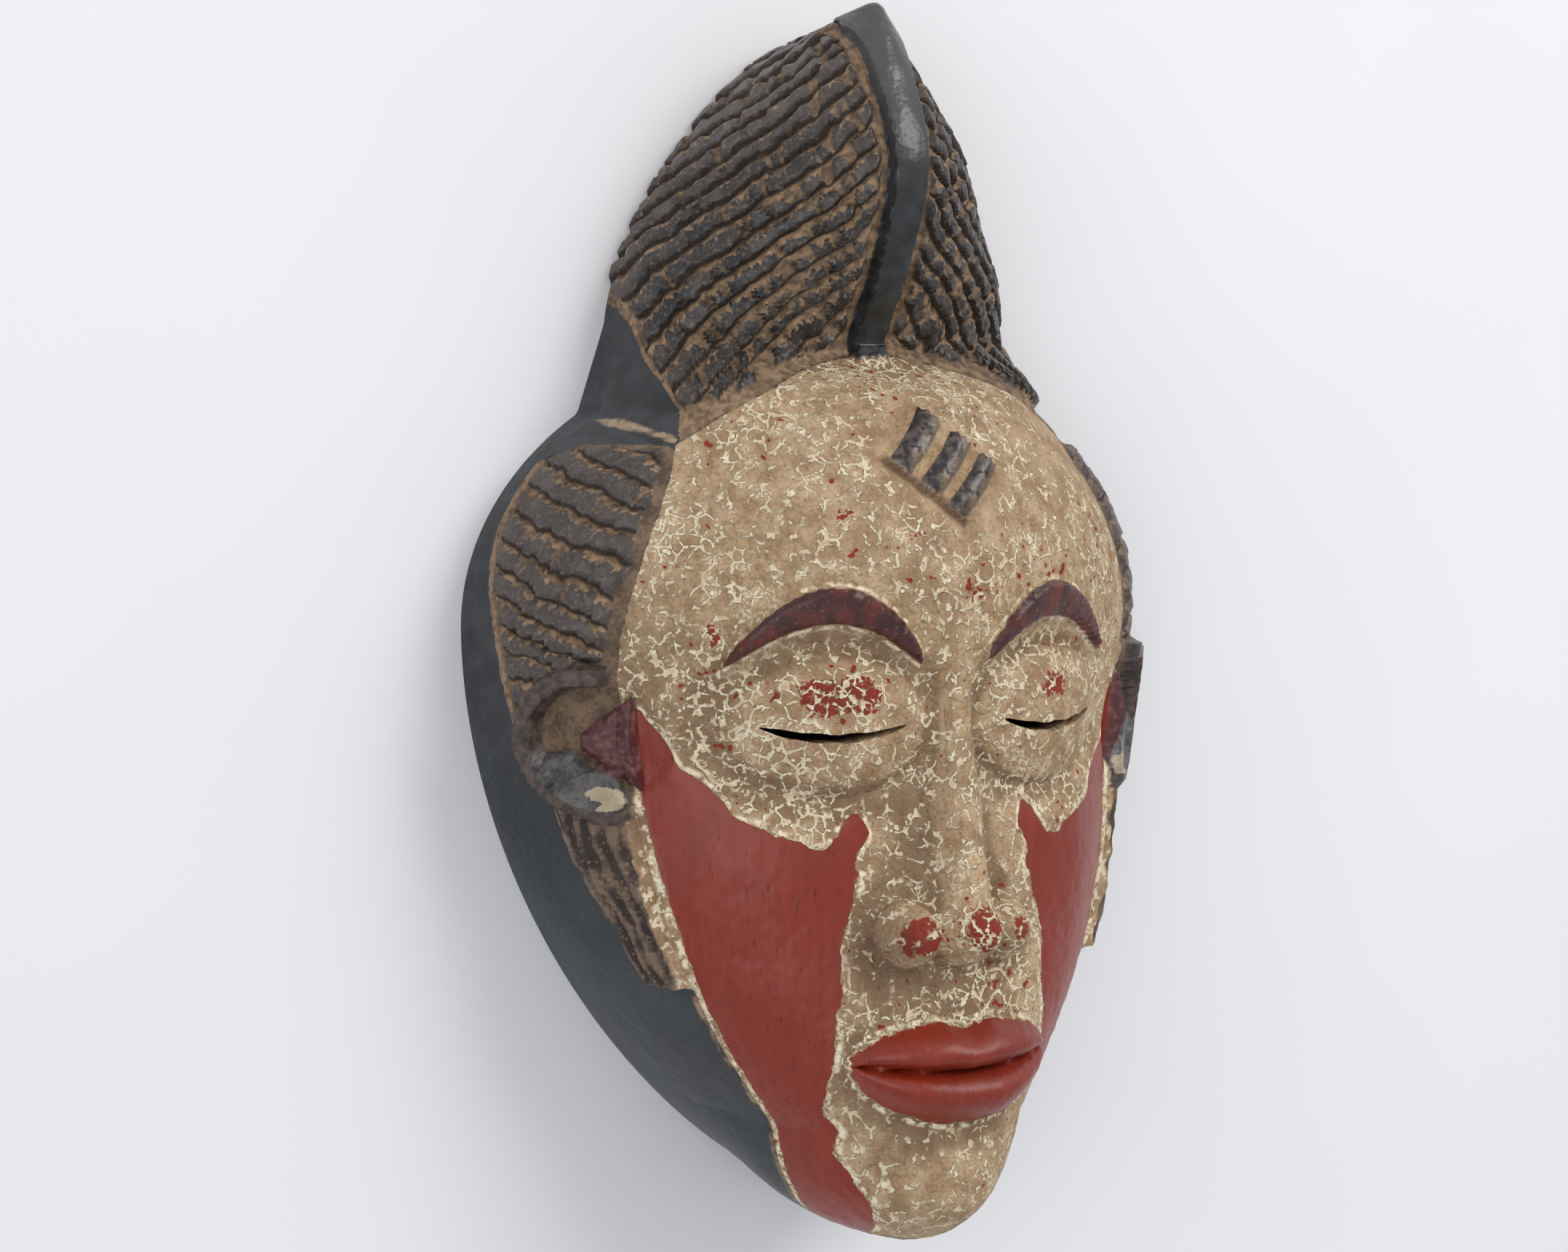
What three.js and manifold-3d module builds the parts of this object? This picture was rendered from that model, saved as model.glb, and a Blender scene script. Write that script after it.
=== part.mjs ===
// A carved and painted wooden face mask of the punu style, lying on its back.
// Millimetres. X runs across the face, Y up to the crown, Z from the back rim to the nose.
// Heights in the constants count from the chin. The last step centres them on Y = 0.
import * as THREE from "three";
import { mergeVertices } from "three/addons/utils/BufferGeometryUtils.js";
import Module from "manifold-3d";

const wasm = await Module();
wasm.setup();

// Driving sizes
const maskHeight = 330;
const headHalfWidth = 101;
const faceDepth = 84;
const sideWall = 11;
const frontWall = 13;
const eyeSlitHeight = 2.4;

// The carver's unit: one millimetre on a mask of this height. All free forms are counted in it.
const unit = maskHeight / 330;
const tall = (share) => share * unit;

// Heights of the main forms
const widest = tall(165);
const lobeReach = tall(75);
const neckTop = tall(246);
const neckFoot = tall(222.6);
const crestTop = tall(329);
const hairlineTop = tall(237);
const rimLift = tall(5);
const crownFall = tall(8);

// Half widths of the crest and its neck, as shares of the head's
const neckFootWidth = 0.653 * headHalfWidth;
const neckTopWidth = 0.574 * headHalfWidth;
const apexWidth = tall(5.5);

// The centre line: height above the chin, and depth as a share of the face's
const centreLine = [
  [0, 0.7],
  [6, 0.87],
  [20, 0.98],
  [60, 1.0],
  [110, 0.98],
  [150, 1.0],
  [185, 1.035],
  [210, 0.93],
  [226, 0.73],
  [237, 0.49],
  [246, 0.505],
  [259, 0.61],
  [285, 0.73],
  [310, 0.635],
  [330, 0.5],
];

// How far the dressed surfaces stand proud of the shell
const braidHeight = tall(2.6);
const grooveHeight = tall(0.7);
const ridgeHeight = tall(3.4);
const ridgeHalfWidth = tall(5.2);
const sideburnHeight = tall(3.6);
const earHeight = tall(7.5);
const tragusHeight = tall(6);
const browHeight = tall(2.8);
const lozengeHeight = tall(2.6);
const rooted = tall(6);

// Small helpers
const clamp = (value, low, high) => Math.min(high, Math.max(low, value));
const mix = (a, b, t) => a + (b - a) * t;

function ease(from, to, value) {
  const t = clamp((value - from) / (to - from), 0, 1);
  return t * t * (3 - 2 * t);
}

// A round mound of height one and radius one
const mound = (r) => Math.max(0, 1 - r * r) ** 0.8;

// A soft bump of height one and radius one
const bump = (r) => Math.max(0, 1 - r * r) ** 2;

// A smooth curve through the points of a list, read at one height
function through(points, at) {
  let i = 0;
  while (i < points.length - 2 && at > points[i + 1][0]) i += 1;
  const slope = (k) => {
    const a = points[Math.max(0, k - 1)];
    const b = points[Math.min(points.length - 1, k + 1)];
    return (b[1] - a[1]) / (b[0] - a[0]);
  };
  const [x0, y0] = points[i];
  const [x1, y1] = points[i + 1];
  const span = x1 - x0;
  const t = clamp((at - x0) / span, 0, 1);
  const bend = t * (1 - t) * span * (slope(i) * (1 - t) - slope(i + 1) * t);
  return mix(y0, y1, t * t * (3 - 2 * t)) + bend;
}

// A straight-sided path through the points of a list, read at a share of its points
function along(points, share) {
  const place = clamp(share, 0, 1) * (points.length - 1);
  const i = Math.min(points.length - 2, Math.floor(place));
  return points[i].map((value, k) => mix(value, points[i + 1][k], place - i));
}

// Half width of the back rim: an egg for the jaw, an ellipse for the side hair, then neck and crest
function rimHalfWidth(h) {
  if (h <= widest) {
    const t = Math.min(1, (widest - h) / widest);
    return headHalfWidth * (1 - t ** 1.9) ** 0.75;
  }
  const lobe = headHalfWidth * Math.sqrt(Math.max(0, 1 - ((h - widest) / lobeReach) ** 2));
  const neck = mix(neckFootWidth, neckTopWidth, (h - neckFoot) / (neckTop - neckFoot));
  const t = clamp((h - neckTop) / (crestTop - neckTop), 0, 1);
  const crest = Math.max(apexWidth, neckTopWidth * (1 - t ** 1.5) ** 0.75);
  return Math.max(lobe, h < neckTop ? neck : crest);
}

// Half width of the chin in front, which is rounder than the rim behind it
const chinRound = { height: tall(42), halfWidth: tall(48) };

function chinHalfWidth(h) {
  const t = clamp(1 - h / chinRound.height, 0, 1);
  return chinRound.halfWidth * Math.sqrt(1 - t * t);
}

const centreDepth = (h) => faceDepth * through(centreLine, h / unit);

// How square a section is: full at the jaw, slimmer at the head, full again under the crest
function fullness(h) {
  const jaw = mix(2.35, 1.8, ease(tall(60), tall(130), h));
  return jaw + 0.7 * bump((h - tall(240)) / tall(34));
}

// The crown leans back and the back rim stops above the chin
function lean(h, z) {
  if (h < widest) return rimLift * (1 - h / widest) * Math.max(0, 1 - z / tall(70));
  return -crownFall * clamp((h - neckTop) / tall(84), 0, 1) * Math.max(0, 1 - z / tall(46));
}

// The face is a calm one of no person: hairline, brow, nose base and chin lie a third apart
const third = hairlineTop / 3;
const eye = { x: tall(33), h: 0.6 * hairlineTop, rx: tall(27), ry: tall(19) };
const slit = { halfLength: tall(18), sag: tall(3) };
const nose = { root: 2 * third - tall(6), tip: third + tall(10), base: third, height: tall(15) };
const ball = { rx: tall(11), ry: tall(11), height: tall(19) };
const wing = { x: tall(14.5), h: third + tall(9), rx: tall(9.5), ry: tall(9.5), height: tall(12) };
const mouth = { h: (2 * third) / 3, halfWidth: tall(28), upper: tall(13), lower: tall(15), height: tall(9) };
const chin = { h: tall(17), rx: tall(25), ry: tall(19), height: tall(6) };

const mouthLine = (x) => mouth.h + tall(2) * (x / mouth.halfWidth) ** 2;

function noseRelief(x, h) {
  const down = clamp((nose.root - h) / (nose.root - nose.tip), 0, 1);
  const top = mix(tall(3), nose.height, down ** 1.15);
  const ends = ease(nose.base - tall(2), nose.tip, h) * (1 - ease(nose.root, nose.root + tall(20), h));
  const halfWidth = mix(tall(8), tall(14), down);
  const ridge = top * ends * (1 - ease(0.15, 1, Math.abs(x) / halfWidth));
  const tip = ball.height * mound(Math.hypot(x / ball.rx, (h - nose.tip) / ball.ry));
  const side = Math.hypot((Math.abs(x) - wing.x) / wing.rx, (h - wing.h) / wing.ry);
  return Math.max(ridge, tip, wing.height * mound(side));
}

function lipRelief(x, h) {
  const across = Math.sqrt(Math.max(0, 1 - (x / (mouth.halfWidth + tall(1.5))) ** 2));
  const above = h - mouthLine(x);
  const bow = 1 - 0.16 * bump(x / tall(8));
  const thick = (above > 0 ? mouth.upper * bow : mouth.lower) * across;
  if (thick < tall(0.5)) return 0;
  const t = clamp(Math.abs(above) / thick, 0, 1);
  return mouth.height * across ** 0.6 * Math.sin(Math.PI * t ** 0.75) ** 0.7;
}

function faceRelief(x, h) {
  const side = Math.abs(x);
  const orbit = Math.hypot((side - eye.x) / (1.45 * eye.rx), (h - eye.h) / (1.6 * eye.ry));
  const lid = Math.hypot((side - eye.x) / eye.rx, (h - eye.h) / eye.ry);
  const muzzle = Math.hypot(x / tall(42), (h - mouth.h) / tall(36));
  const point = Math.hypot(x / chin.rx, (h - chin.h) / chin.ry);
  const cheek = Math.hypot((side - tall(50)) / tall(26), (h - tall(108)) / tall(28));
  const low = tall(4) * bump(muzzle) + chin.height * bump(point) + tall(3) * bump(cheek);
  const eyes = tall(11.5) * mound(lid) - tall(7) * bump(orbit);
  return low + eyes + noseRelief(x, h) + lipRelief(x, h);
}

// A point of the shell: phi is -90 degrees at one rim, 0 on the centre line and 90 at the other
function shellPoint(phi, h) {
  const power = 2 / fullness(h);
  const rise = Math.max(0, Math.cos(phi)) ** power;
  const rim = rimHalfWidth(h);
  const half = h < chinRound.height ? mix(rim, Math.max(rim, chinHalfWidth(h)), ease(0, 0.7, rise)) : rim;
  const x = Math.sign(phi) * half * Math.abs(Math.sin(phi)) ** power;
  const z = centreDepth(h) * rise;
  const front = ease(0.25, 0.6, z / faceDepth) * (h < hairlineTop ? 1 : 0);
  const raised = z + front * faceRelief(x, h);
  return new THREE.Vector3(x, h + lean(h, z), raised);
}

// The angle at which the shell reaches a share of its own depth
const angleAt = (share, h) => Math.acos(clamp(share, 0, 1) ** (fullness(h) / 2));

// The angle at which the shell is a distance from the centre line
const angleOf = (x, h) => Math.sign(x) * Math.asin(clamp(Math.abs(x) / rimHalfWidth(h), 0, 1) ** (fullness(h) / 2));

// The point above or below the shell, along its normal
function offShell(phi, h, proud) {
  const d = 0.012;
  const a = shellPoint(phi + d, h).sub(shellPoint(phi - d, h));
  const b = shellPoint(phi, h + tall(1)).sub(shellPoint(phi, h - tall(1)));
  const normal = a.cross(b).normalize();
  return shellPoint(phi, h).addScaledVector(normal, proud);
}

// Closed meshes from lists of points and quads
function toSolid(points, faces) {
  const positions = new Float32Array(points.flatMap((p) => [p.x, p.y, p.z]));
  let volume = 0;
  for (const [a, b, c] of faces) {
    volume += points[a].dot(new THREE.Vector3().crossVectors(points[b], points[c]));
  }
  const turned = volume > 0 ? faces : faces.map(([a, b, c]) => [a, c, b]);
  const loose = new THREE.BufferGeometry();
  loose.setAttribute("position", new THREE.BufferAttribute(positions, 3));
  loose.setIndex(turned.flat());
  return geometryToSolid(loose);
}

function geometryToSolid(geometry) {
  geometry.deleteAttribute("normal");
  geometry.deleteAttribute("uv");
  const merged = mergeVertices(geometry, 1e-4);
  return new wasm.Manifold(new wasm.Mesh({
    numProp: 3,
    vertProperties: merged.attributes.position.array,
    triVerts: new Uint32Array(merged.index.array),
  }));
}

// Rings of points joined into a closed body, each end filled by a fan
function loft(rings) {
  const n = rings[0].length;
  const points = rings.flat();
  const faces = [];
  for (let r = 0; r < rings.length - 1; r += 1) {
    for (let i = 0; i < n; i += 1) {
      const a = r * n + i;
      const b = r * n + ((i + 1) % n);
      faces.push([a, b, b + n], [a, b + n, a + n]);
    }
  }
  const last = (rings.length - 1) * n;
  for (let i = 1; i < n - 1; i += 1) {
    faces.push([0, i + 1, i], [last, last + i, last + i + 1]);
  }
  return toSolid(points, faces);
}

// A slab over a grid: place(u, v) gives the angle, height and the two offsets from the shell
function slab(us, vs, place) {
  const sheet = (top) => us.flatMap((u) => vs.map((v) => {
    const [phi, h, over, under] = place(u, v);
    return offShell(phi, h, top ? over : under);
  }));
  const points = [...sheet(true), ...sheet(false)];
  const half = us.length * vs.length;
  const at = (i, j) => i * vs.length + j;
  const faces = [];
  for (let i = 0; i < us.length - 1; i += 1) {
    for (let j = 0; j < vs.length - 1; j += 1) {
      const [a, b, c, d] = [at(i, j), at(i + 1, j), at(i + 1, j + 1), at(i, j + 1)];
      faces.push([a, b, c], [a, c, d]);
      faces.push([a + half, c + half, b + half], [a + half, d + half, c + half]);
    }
  }
  const edge = [];
  for (let i = 0; i < us.length - 1; i += 1) edge.push([at(i, 0), at(i + 1, 0)]);
  for (let j = 0; j < vs.length - 1; j += 1) edge.push([at(us.length - 1, j), at(us.length - 1, j + 1)]);
  for (let i = us.length - 1; i > 0; i -= 1) edge.push([at(i, vs.length - 1), at(i - 1, vs.length - 1)]);
  for (let j = vs.length - 1; j > 0; j -= 1) edge.push([at(0, j), at(0, j - 1)]);
  for (const [a, b] of edge) faces.push([b, a, a + half], [b, a + half, b + half]);
  return toSolid(points, faces);
}

const steps = (count) => Array.from({ length: count + 1 }, (_, i) => i / count);

// The carved head, closed flat at the back
const rowZones = [
  [0.4, 6, 3],
  [6, 36, 6],
  [36, 72, 9],
  [72, 166, 17],
  [166, 224, 7],
  [224, 250, 4],
  [250, 318, 4],
  [318, 328, 2],
];
const columns = 34;

// How deep the shell is cut back under the braids, so that it stays below their grooves
const underBraids = tall(2.4);

function cutBack(phi, h) {
  const share = shellPoint(phi, h).z / centreDepth(h);
  const crest = ease(tall(250), tall(258), h) * (1 - ease(0.9, 0.97, share));
  const lobe = ease(tall(146), tall(158), h) * (1 - ease(tall(198), tall(205), h));
  const beside = ease(0.16, 0.24, share) * (1 - ease(0.5, 0.58, share));
  return underBraids * Math.max(crest, lobe * beside);
}

function headSolid() {
  const heights = rowZones.flatMap(([from, to, count]) =>
    steps(count).slice(0, -1).map((t) => tall(mix(from, to, t))));
  heights.push(tall(328), maskHeight);
  const rings = heights.map((h) => steps(columns).map((t) => {
    const s = 2 * t - 1;
    const phi = (Math.PI / 2) * s * (0.74 + 0.26 * s * s);
    const deep = cutBack(phi, h);
    const p = deep > 0 ? offShell(phi, h, -deep) : shellPoint(phi, h);
    if (s === -1 || s === 1) return new THREE.Vector3(p.x, p.y, 0);
    return h < maskHeight ? p : new THREE.Vector3(0.7 * p.x, p.y, 0.97 * p.z);
  }));
  return loft(rings);
}

// The hollow behind the face, open at the back
const hollowFoot = tall(14);
const hollowTop = tall(229);
const hollowRound = { foot: tall(40), top: tall(44) };

function hollowSolid() {
  const rings = steps(14).map((t) => {
    const h = mix(hollowFoot, hollowTop, t - Math.sin(2 * Math.PI * t) / 9);
    const high = Math.max(0, h - (hollowTop - hollowRound.top)) / hollowRound.top;
    const low = Math.max(0, hollowFoot + hollowRound.foot - h) / hollowRound.foot;
    const roof = Math.sqrt(1.02 - high * high);
    const half = Math.max(tall(5), rimHalfWidth(h) - sideWall) * roof;
    const deep = (Math.min(centreDepth(h), faceDepth) - frontWall) * roof * Math.sqrt(1.04 - low * low);
    const power = 2 / fullness(h);
    const arch = steps(14).map((s) => {
      const phi = Math.PI * (s - 0.5);
      const x = Math.sign(phi) * half * Math.abs(Math.sin(phi)) ** power;
      return new THREE.Vector3(x, h + lean(h, 0), deep * Math.max(0, Math.cos(phi)) ** power);
    });
    const back = (side) => new THREE.Vector3(side * half, h + lean(h, 0), -tall(3));
    return [back(-1), ...arch, back(1)];
  });
  return loft(rings);
}

// One through slit for each eye, bowed downwards
function eyeSlit(side) {
  const outline = new THREE.Shape();
  const bowed = (t) => eye.h - slit.sag * (1 - (2 * t - 1) ** 2);
  const thick = (t) => 0.5 * eyeSlitHeight * Math.sqrt(Math.max(0.06, 1 - (2 * t - 1) ** 2));
  const reach = (t) => side * (eye.x + slit.halfLength * (2 * t - 1));
  const turns = steps(8);
  turns.forEach((t, i) => {
    const [x, y] = [reach(t), bowed(t) + thick(t)];
    if (i === 0) outline.moveTo(x, y);
    else outline.lineTo(x, y);
  });
  [...turns].reverse().forEach((t) => outline.lineTo(reach(t), bowed(t) - thick(t)));
  const cutter = new THREE.ExtrudeGeometry(outline, { depth: 2 * faceDepth, bevelEnabled: false });
  cutter.translate(0, 0, tall(10));
  return geometryToSolid(cutter);
}

// Braids as a slab with ridges: starts and ends give the share of depth and the height of each row
function braidField(side, starts, ends, rows, segments) {
  const vs = steps(3 * rows);
  const isGroove = (v) => Math.round(3 * rows * v) % 3 === 0;
  return slab(steps(segments), vs, (u, v) => {
    const row = isGroove(v) ? v : v + (Math.round(3 * rows * v) % 3 === 1 ? -0.4 : 0.4) / (3 * rows);
    const [startShare, startHeight] = along(starts, row);
    const [endShare, endHeight] = along(ends, row);
    const from = angleAt(startShare, tall(startHeight));
    const to = angleAt(endShare, tall(endHeight));
    const h = tall(mix(startHeight, endHeight, u));
    const over = isGroove(v) ? grooveHeight : braidHeight;
    return [side * mix(from, to, u), h, over, -Math.min(rooted, 0.5 * rimHalfWidth(h))];
  });
}

// Crest rows rise from the hairline, the wedge behind it and the rim up to the ridge
const crestStarts = [
  [0.995, 236],
  [0.935, 231],
  [0.6, 217],
  [0.54, 232],
  [0.35, 243.5],
  [0.08, 258],
  [0.06, 274.5],
  [0.06, 293],
  [0.06, 312],
];
const crestEnds = [
  [0.999, 238],
  [0.998, 253],
  [0.992, 268],
  [0.988, 283],
  [0.983, 295],
  [0.97, 306],
  [0.94, 317],
  [0.82, 322],
  [0.55, 326],
];
const crestRows = 16;

// Side rows come down from the back of the side hair to the face and the ear
const lobeStarts = [
  [0.48, 211.5],
  [0.2, 208.5],
  [0.13, 199],
  [0.125, 186.5],
  [0.165, 174],
  [0.195, 160.5],
  [0.235, 146],
];
const lobeEnds = [
  [0.6, 208],
  [0.6, 197],
  [0.6, 185],
  [0.59, 169],
  [0.52, 159.5],
  [0.41, 156],
  [0.3, 145],
];
const lobeRows = 11;

// The smooth band down the front edge of the crest
function ridgeBand() {
  const lift = (v) => ridgeHeight * (Math.abs(v) > 0.9 ? 0.55 : 1);
  return slab(steps(12), [-1, -0.7, 0.7, 1], (u, v) => {
    const h = mix(hairlineTop - tall(1.5), maskHeight - tall(1.2), u);
    const halfWidth = Math.min(ridgeHalfWidth, 0.93 * rimHalfWidth(h));
    return [angleOf(halfWidth * v, h), h, lift(v), -Math.min(rooted, 0.6 * rimHalfWidth(h))];
  });
}

// The hair in front of and below each ear, cut off square
const burnTop = tall(121);
const burnFoot = tall(73);
const burnBack = (h) => mix(0.49, 0.33, ease(burnFoot, burnTop, h));
const burnFront = (h) => mix(0.65, 0.57, ease(burnFoot, burnTop, h));

function sideburn(side) {
  return slab(steps(5), steps(2), (u, v) => {
    const h = mix(burnFoot, burnTop, u);
    const share = mix(burnBack(h), burnFront(h), v);
    return [side * angleAt(share, h), h, sideburnHeight, -rooted];
  });
}

// The ear: a rim bent like a C and a wedge in its mouth
const ear = { share: 0.51, h: tall(137), reach: 0.2, rise: tall(18) };

function earRim(side) {
  return slab(steps(10), [-1, -0.4, 0.4, 1], (u, v) => {
    const turn = Math.PI * mix(0.5, 1.55, u);
    const size = 1 + 0.17 * v;
    const share = ear.share + ear.reach * size * Math.cos(turn);
    const h = ear.h + ear.rise * size * Math.sin(turn);
    const over = earHeight * (Math.abs(v) > 0.9 ? 0.5 : 1) * mix(0.75, 1, Math.sin(Math.PI * u));
    return [side * angleAt(share, h), h, over, -rooted];
  });
}

function tragus(side) {
  return slab(steps(3), steps(4), (u, v) => {
    const share = mix(0.6, 0.45, u);
    const h = ear.h + tall(13) * (1 - 0.85 * u) * (2 * v - 1);
    const over = tragusHeight * (1 - 0.4 * u) * (1 - 0.6 * Math.abs(2 * v - 1));
    return [side * angleAt(share, h), h, over, -rooted];
  });
}

// Crescent brows in low relief
const brow = { from: tall(9), to: tall(58), foot: 2 * third, rise: tall(15), halfWidth: tall(4.6) };

function browSolid(side) {
  return slab(steps(9), [-1, 0, 1], (u, v) => {
    const t = 2 * u - 1;
    const x = mix(brow.from, brow.to, u);
    const half = brow.halfWidth * Math.sqrt(Math.max(0.05, 1 - t * t));
    const h = brow.foot + brow.rise * (1 - t * t) + v * half;
    return [angleOf(side * x, h), h, browHeight, -rooted];
  });
}

// Nine raised lozenges on the forehead, set as one diamond
const ornament = { h: tall(208), halfWidth: tall(16.5), halfHeight: tall(14.5), gap: 0.13 };

function lozenge(row, column) {
  const corner = (i, t) => ((i + ornament.gap + t * (1 - 2 * ornament.gap)) / 3) * 2 - 1;
  return slab([0, 1], [0, 1], (u, v) => {
    const a = corner(row, u);
    const b = corner(column, v);
    const x = (ornament.halfWidth * (a + b)) / 2;
    const h = ornament.h + (ornament.halfHeight * (a - b)) / 2;
    return [angleOf(x, h), h, lozengeHeight, -rooted];
  });
}

// Everything is one piece of wood
let wood = headSolid();
for (const side of [-1, 1]) {
  wood = wood.add(braidField(side, crestStarts, crestEnds, crestRows, 4));
  wood = wood.add(braidField(side, lobeStarts, lobeEnds, lobeRows, 3));
  wood = wood.add(sideburn(side)).add(earRim(side)).add(tragus(side)).add(browSolid(side));
}
for (let row = 0; row < 3; row += 1) {
  for (let column = 0; column < 3; column += 1) wood = wood.add(lozenge(row, column));
}
wood = wood.add(ridgeBand()).subtract(hollowSolid());
wood = wood.subtract(eyeSlit(-1)).subtract(eyeSlit(1));

const cut = wood.getMesh();
const carved = new THREE.BufferGeometry();
carved.setAttribute("position", new THREE.BufferAttribute(new Float32Array(cut.vertProperties), 3));
carved.setIndex(new THREE.BufferAttribute(new Uint32Array(cut.triVerts), 1));
carved.translate(0, -maskHeight / 2, 0);

const paintedWood = new THREE.MeshStandardMaterial({ color: 0xa88a68, roughness: 0.75, metalness: 0 });
const mask = new THREE.Mesh(carved, paintedWood);
mask.name = "carved_mask";

const group = new THREE.Group();
group.add(mask);

export default group;
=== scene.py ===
# A carved and painted wooden mask of the punu style, lying on its back and seen from its right.
import math

import bpy
import numpy as np
from mathutils import Matrix, Vector
from mathutils.kdtree import KDTree


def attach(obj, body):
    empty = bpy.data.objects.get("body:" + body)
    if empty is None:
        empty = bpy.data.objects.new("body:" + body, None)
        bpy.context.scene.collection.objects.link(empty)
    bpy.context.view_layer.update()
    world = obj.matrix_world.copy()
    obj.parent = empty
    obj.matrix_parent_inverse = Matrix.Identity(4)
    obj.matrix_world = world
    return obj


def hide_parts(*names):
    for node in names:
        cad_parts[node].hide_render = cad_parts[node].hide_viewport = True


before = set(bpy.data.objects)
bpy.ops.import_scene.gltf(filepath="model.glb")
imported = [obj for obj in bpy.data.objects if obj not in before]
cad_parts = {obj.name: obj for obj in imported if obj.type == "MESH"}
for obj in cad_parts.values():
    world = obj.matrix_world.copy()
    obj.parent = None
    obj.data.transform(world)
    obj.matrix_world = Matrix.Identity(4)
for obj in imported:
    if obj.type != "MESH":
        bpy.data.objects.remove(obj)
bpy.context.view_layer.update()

# Sizes of the carving, in millimetres. Heights count from the chin.
MM = 0.001
VIEW_SIDE = math.radians(32)
MASK_HEIGHT = 330.0
HEAD_HALF_WIDTH = 101.0
FACE_DEPTH = 84.0
SIDE_WALL = 11.0
FRONT_WALL = 13.0
EYE_SLIT_HEIGHT = 2.4

WIDEST = 165.0
LOBE_REACH = 75.0
NECK_TOP = 246.0
NECK_FOOT = 222.6
CREST_TOP = 329.0
HAIRLINE_TOP = 237.0
TEMPLE_X = 57.0
TEMPLE_HEIGHT = 216.0
RIM_LIFT = 5.0
CROWN_FALL = 8.0
NECK_FOOT_WIDTH = 0.653 * HEAD_HALF_WIDTH
NECK_TOP_WIDTH = 0.574 * HEAD_HALF_WIDTH
APEX_WIDTH = 5.5
CHIN_ROUND = {"height": 42.0, "half_width": 48.0}

# Height above the chin, and depth on the centre line as a share of the face's
CENTRE_LINE = [
    (0, 0.7), (6, 0.87), (20, 0.98), (60, 1.0), (110, 0.98), (150, 1.0), (185, 1.035), (210, 0.93),
    (226, 0.73), (237, 0.49), (246, 0.505), (259, 0.61), (285, 0.73), (310, 0.635), (330, 0.5),
]

# How far the dressed surfaces stand proud of the shell
BRAID_HEIGHT = 2.6
GROOVE_HEIGHT = 0.5
RIDGE_HEIGHT = 3.4
RIDGE_HALF_WIDTH = 5.2
SIDEBURN_HEIGHT = 3.6
EAR_HEIGHT = 7.5
TRAGUS_HEIGHT = 6.0
BROW_HEIGHT = 2.6
LOZENGE_HEIGHT = 2.6

# The face is a calm one of no person: hairline, brow, nose base and chin lie a third apart
THIRD = HAIRLINE_TOP / 3
EYE = {"x": 33.0, "h": 0.6 * HAIRLINE_TOP, "rx": 27.0, "ry": 19.0}
SLIT = {"half": 18.0, "sag": 3.0, "depth": 75.0, "reach": 60.0}
NOSE = {"root": 2 * THIRD - 6, "tip": THIRD + 10, "base": THIRD, "height": 15.0}
BALL = {"rx": 11.0, "ry": 11.0, "height": 19.0}
WING = {"x": 14.5, "h": THIRD + 9, "rx": 9.5, "ry": 9.5, "height": 12.0}
MOUTH = {"h": 2 * THIRD / 3, "half": 28.0, "upper": 13.0, "lower": 15.0, "height": 9.0}
CHIN = {"h": 17.0, "rx": 25.0, "ry": 19.0, "height": 6.0}
BROW = {"from": 9.0, "to": 58.0, "foot": 2 * THIRD, "rise": 15.0, "half": 4.6}
EAR = {"share": 0.51, "h": 137.0, "reach": 0.2, "rise": 18.0}
TRAGUS = {"from": 0.45, "to": 0.6, "half": 13.0}
ORNAMENT = {"h": 208.0, "half_width": 16.5, "half_height": 14.5, "along": 0.87, "across": 1.16, "gap": 0.15}
FACETS = 3
BLOCK_HALF = 11.0

# Where the rows of braids start and end: share of the local depth, and height
CREST_STARTS = [
    (0.995, 236), (0.935, 231), (0.6, 217), (0.54, 232), (0.35, 243.5), (0.08, 258), (0.06, 274.5),
    (0.06, 293), (0.06, 312),
]
CREST_ENDS = [
    (0.999, 238), (0.998, 253), (0.992, 268), (0.988, 283), (0.983, 295), (0.97, 306), (0.94, 317),
    (0.82, 322), (0.55, 326),
]
LOBE_STARTS = [
    (0.48, 211.5), (0.2, 208.5), (0.13, 199), (0.125, 186.5), (0.165, 174), (0.195, 160.5), (0.235, 146),
]
LOBE_ENDS = [(0.6, 208), (0.6, 197), (0.6, 185), (0.59, 169), (0.52, 159.5), (0.41, 156), (0.3, 145)]
CREST_ROWS = 16
LOBE_ROWS = 11
ROW_PITCH = 7.5
CREST_CHIP = 12.0
SMALL_CHIP = 7.0
LOBE_CHIP = 17.0
LOBE_MARGIN = 3.2

# How a place along a row follows from the arc round the mask and the height
CREST_SLOPE = 0.707
LOBE_SLOPE = (0.93, 0.36)

# The side hair's rows count down from this number, so that their undercuts lie below
LOBE_COUNT_FROM = 40

# Lines on the side of the head: height, and share of the local depth
FACE_EDGE = [
    (0, 0.62), (30, 0.66), (60, 0.655), (84, 0.64), (100, 0.61), (119, 0.575), (140, 0.56), (160, 0.565),
    (180, 0.59), (200, 0.605), (216, 0.59), (330, 0.59),
]
HAIR_BACK = [
    (0, 0.49), (73, 0.49), (84, 0.48), (96, 0.46), (110, 0.4), (121, 0.33), (137, 0.25), (150, 0.215),
    (165, 0.185), (186, 0.12), (204, 0.115), (330, 0.1),
]
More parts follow.
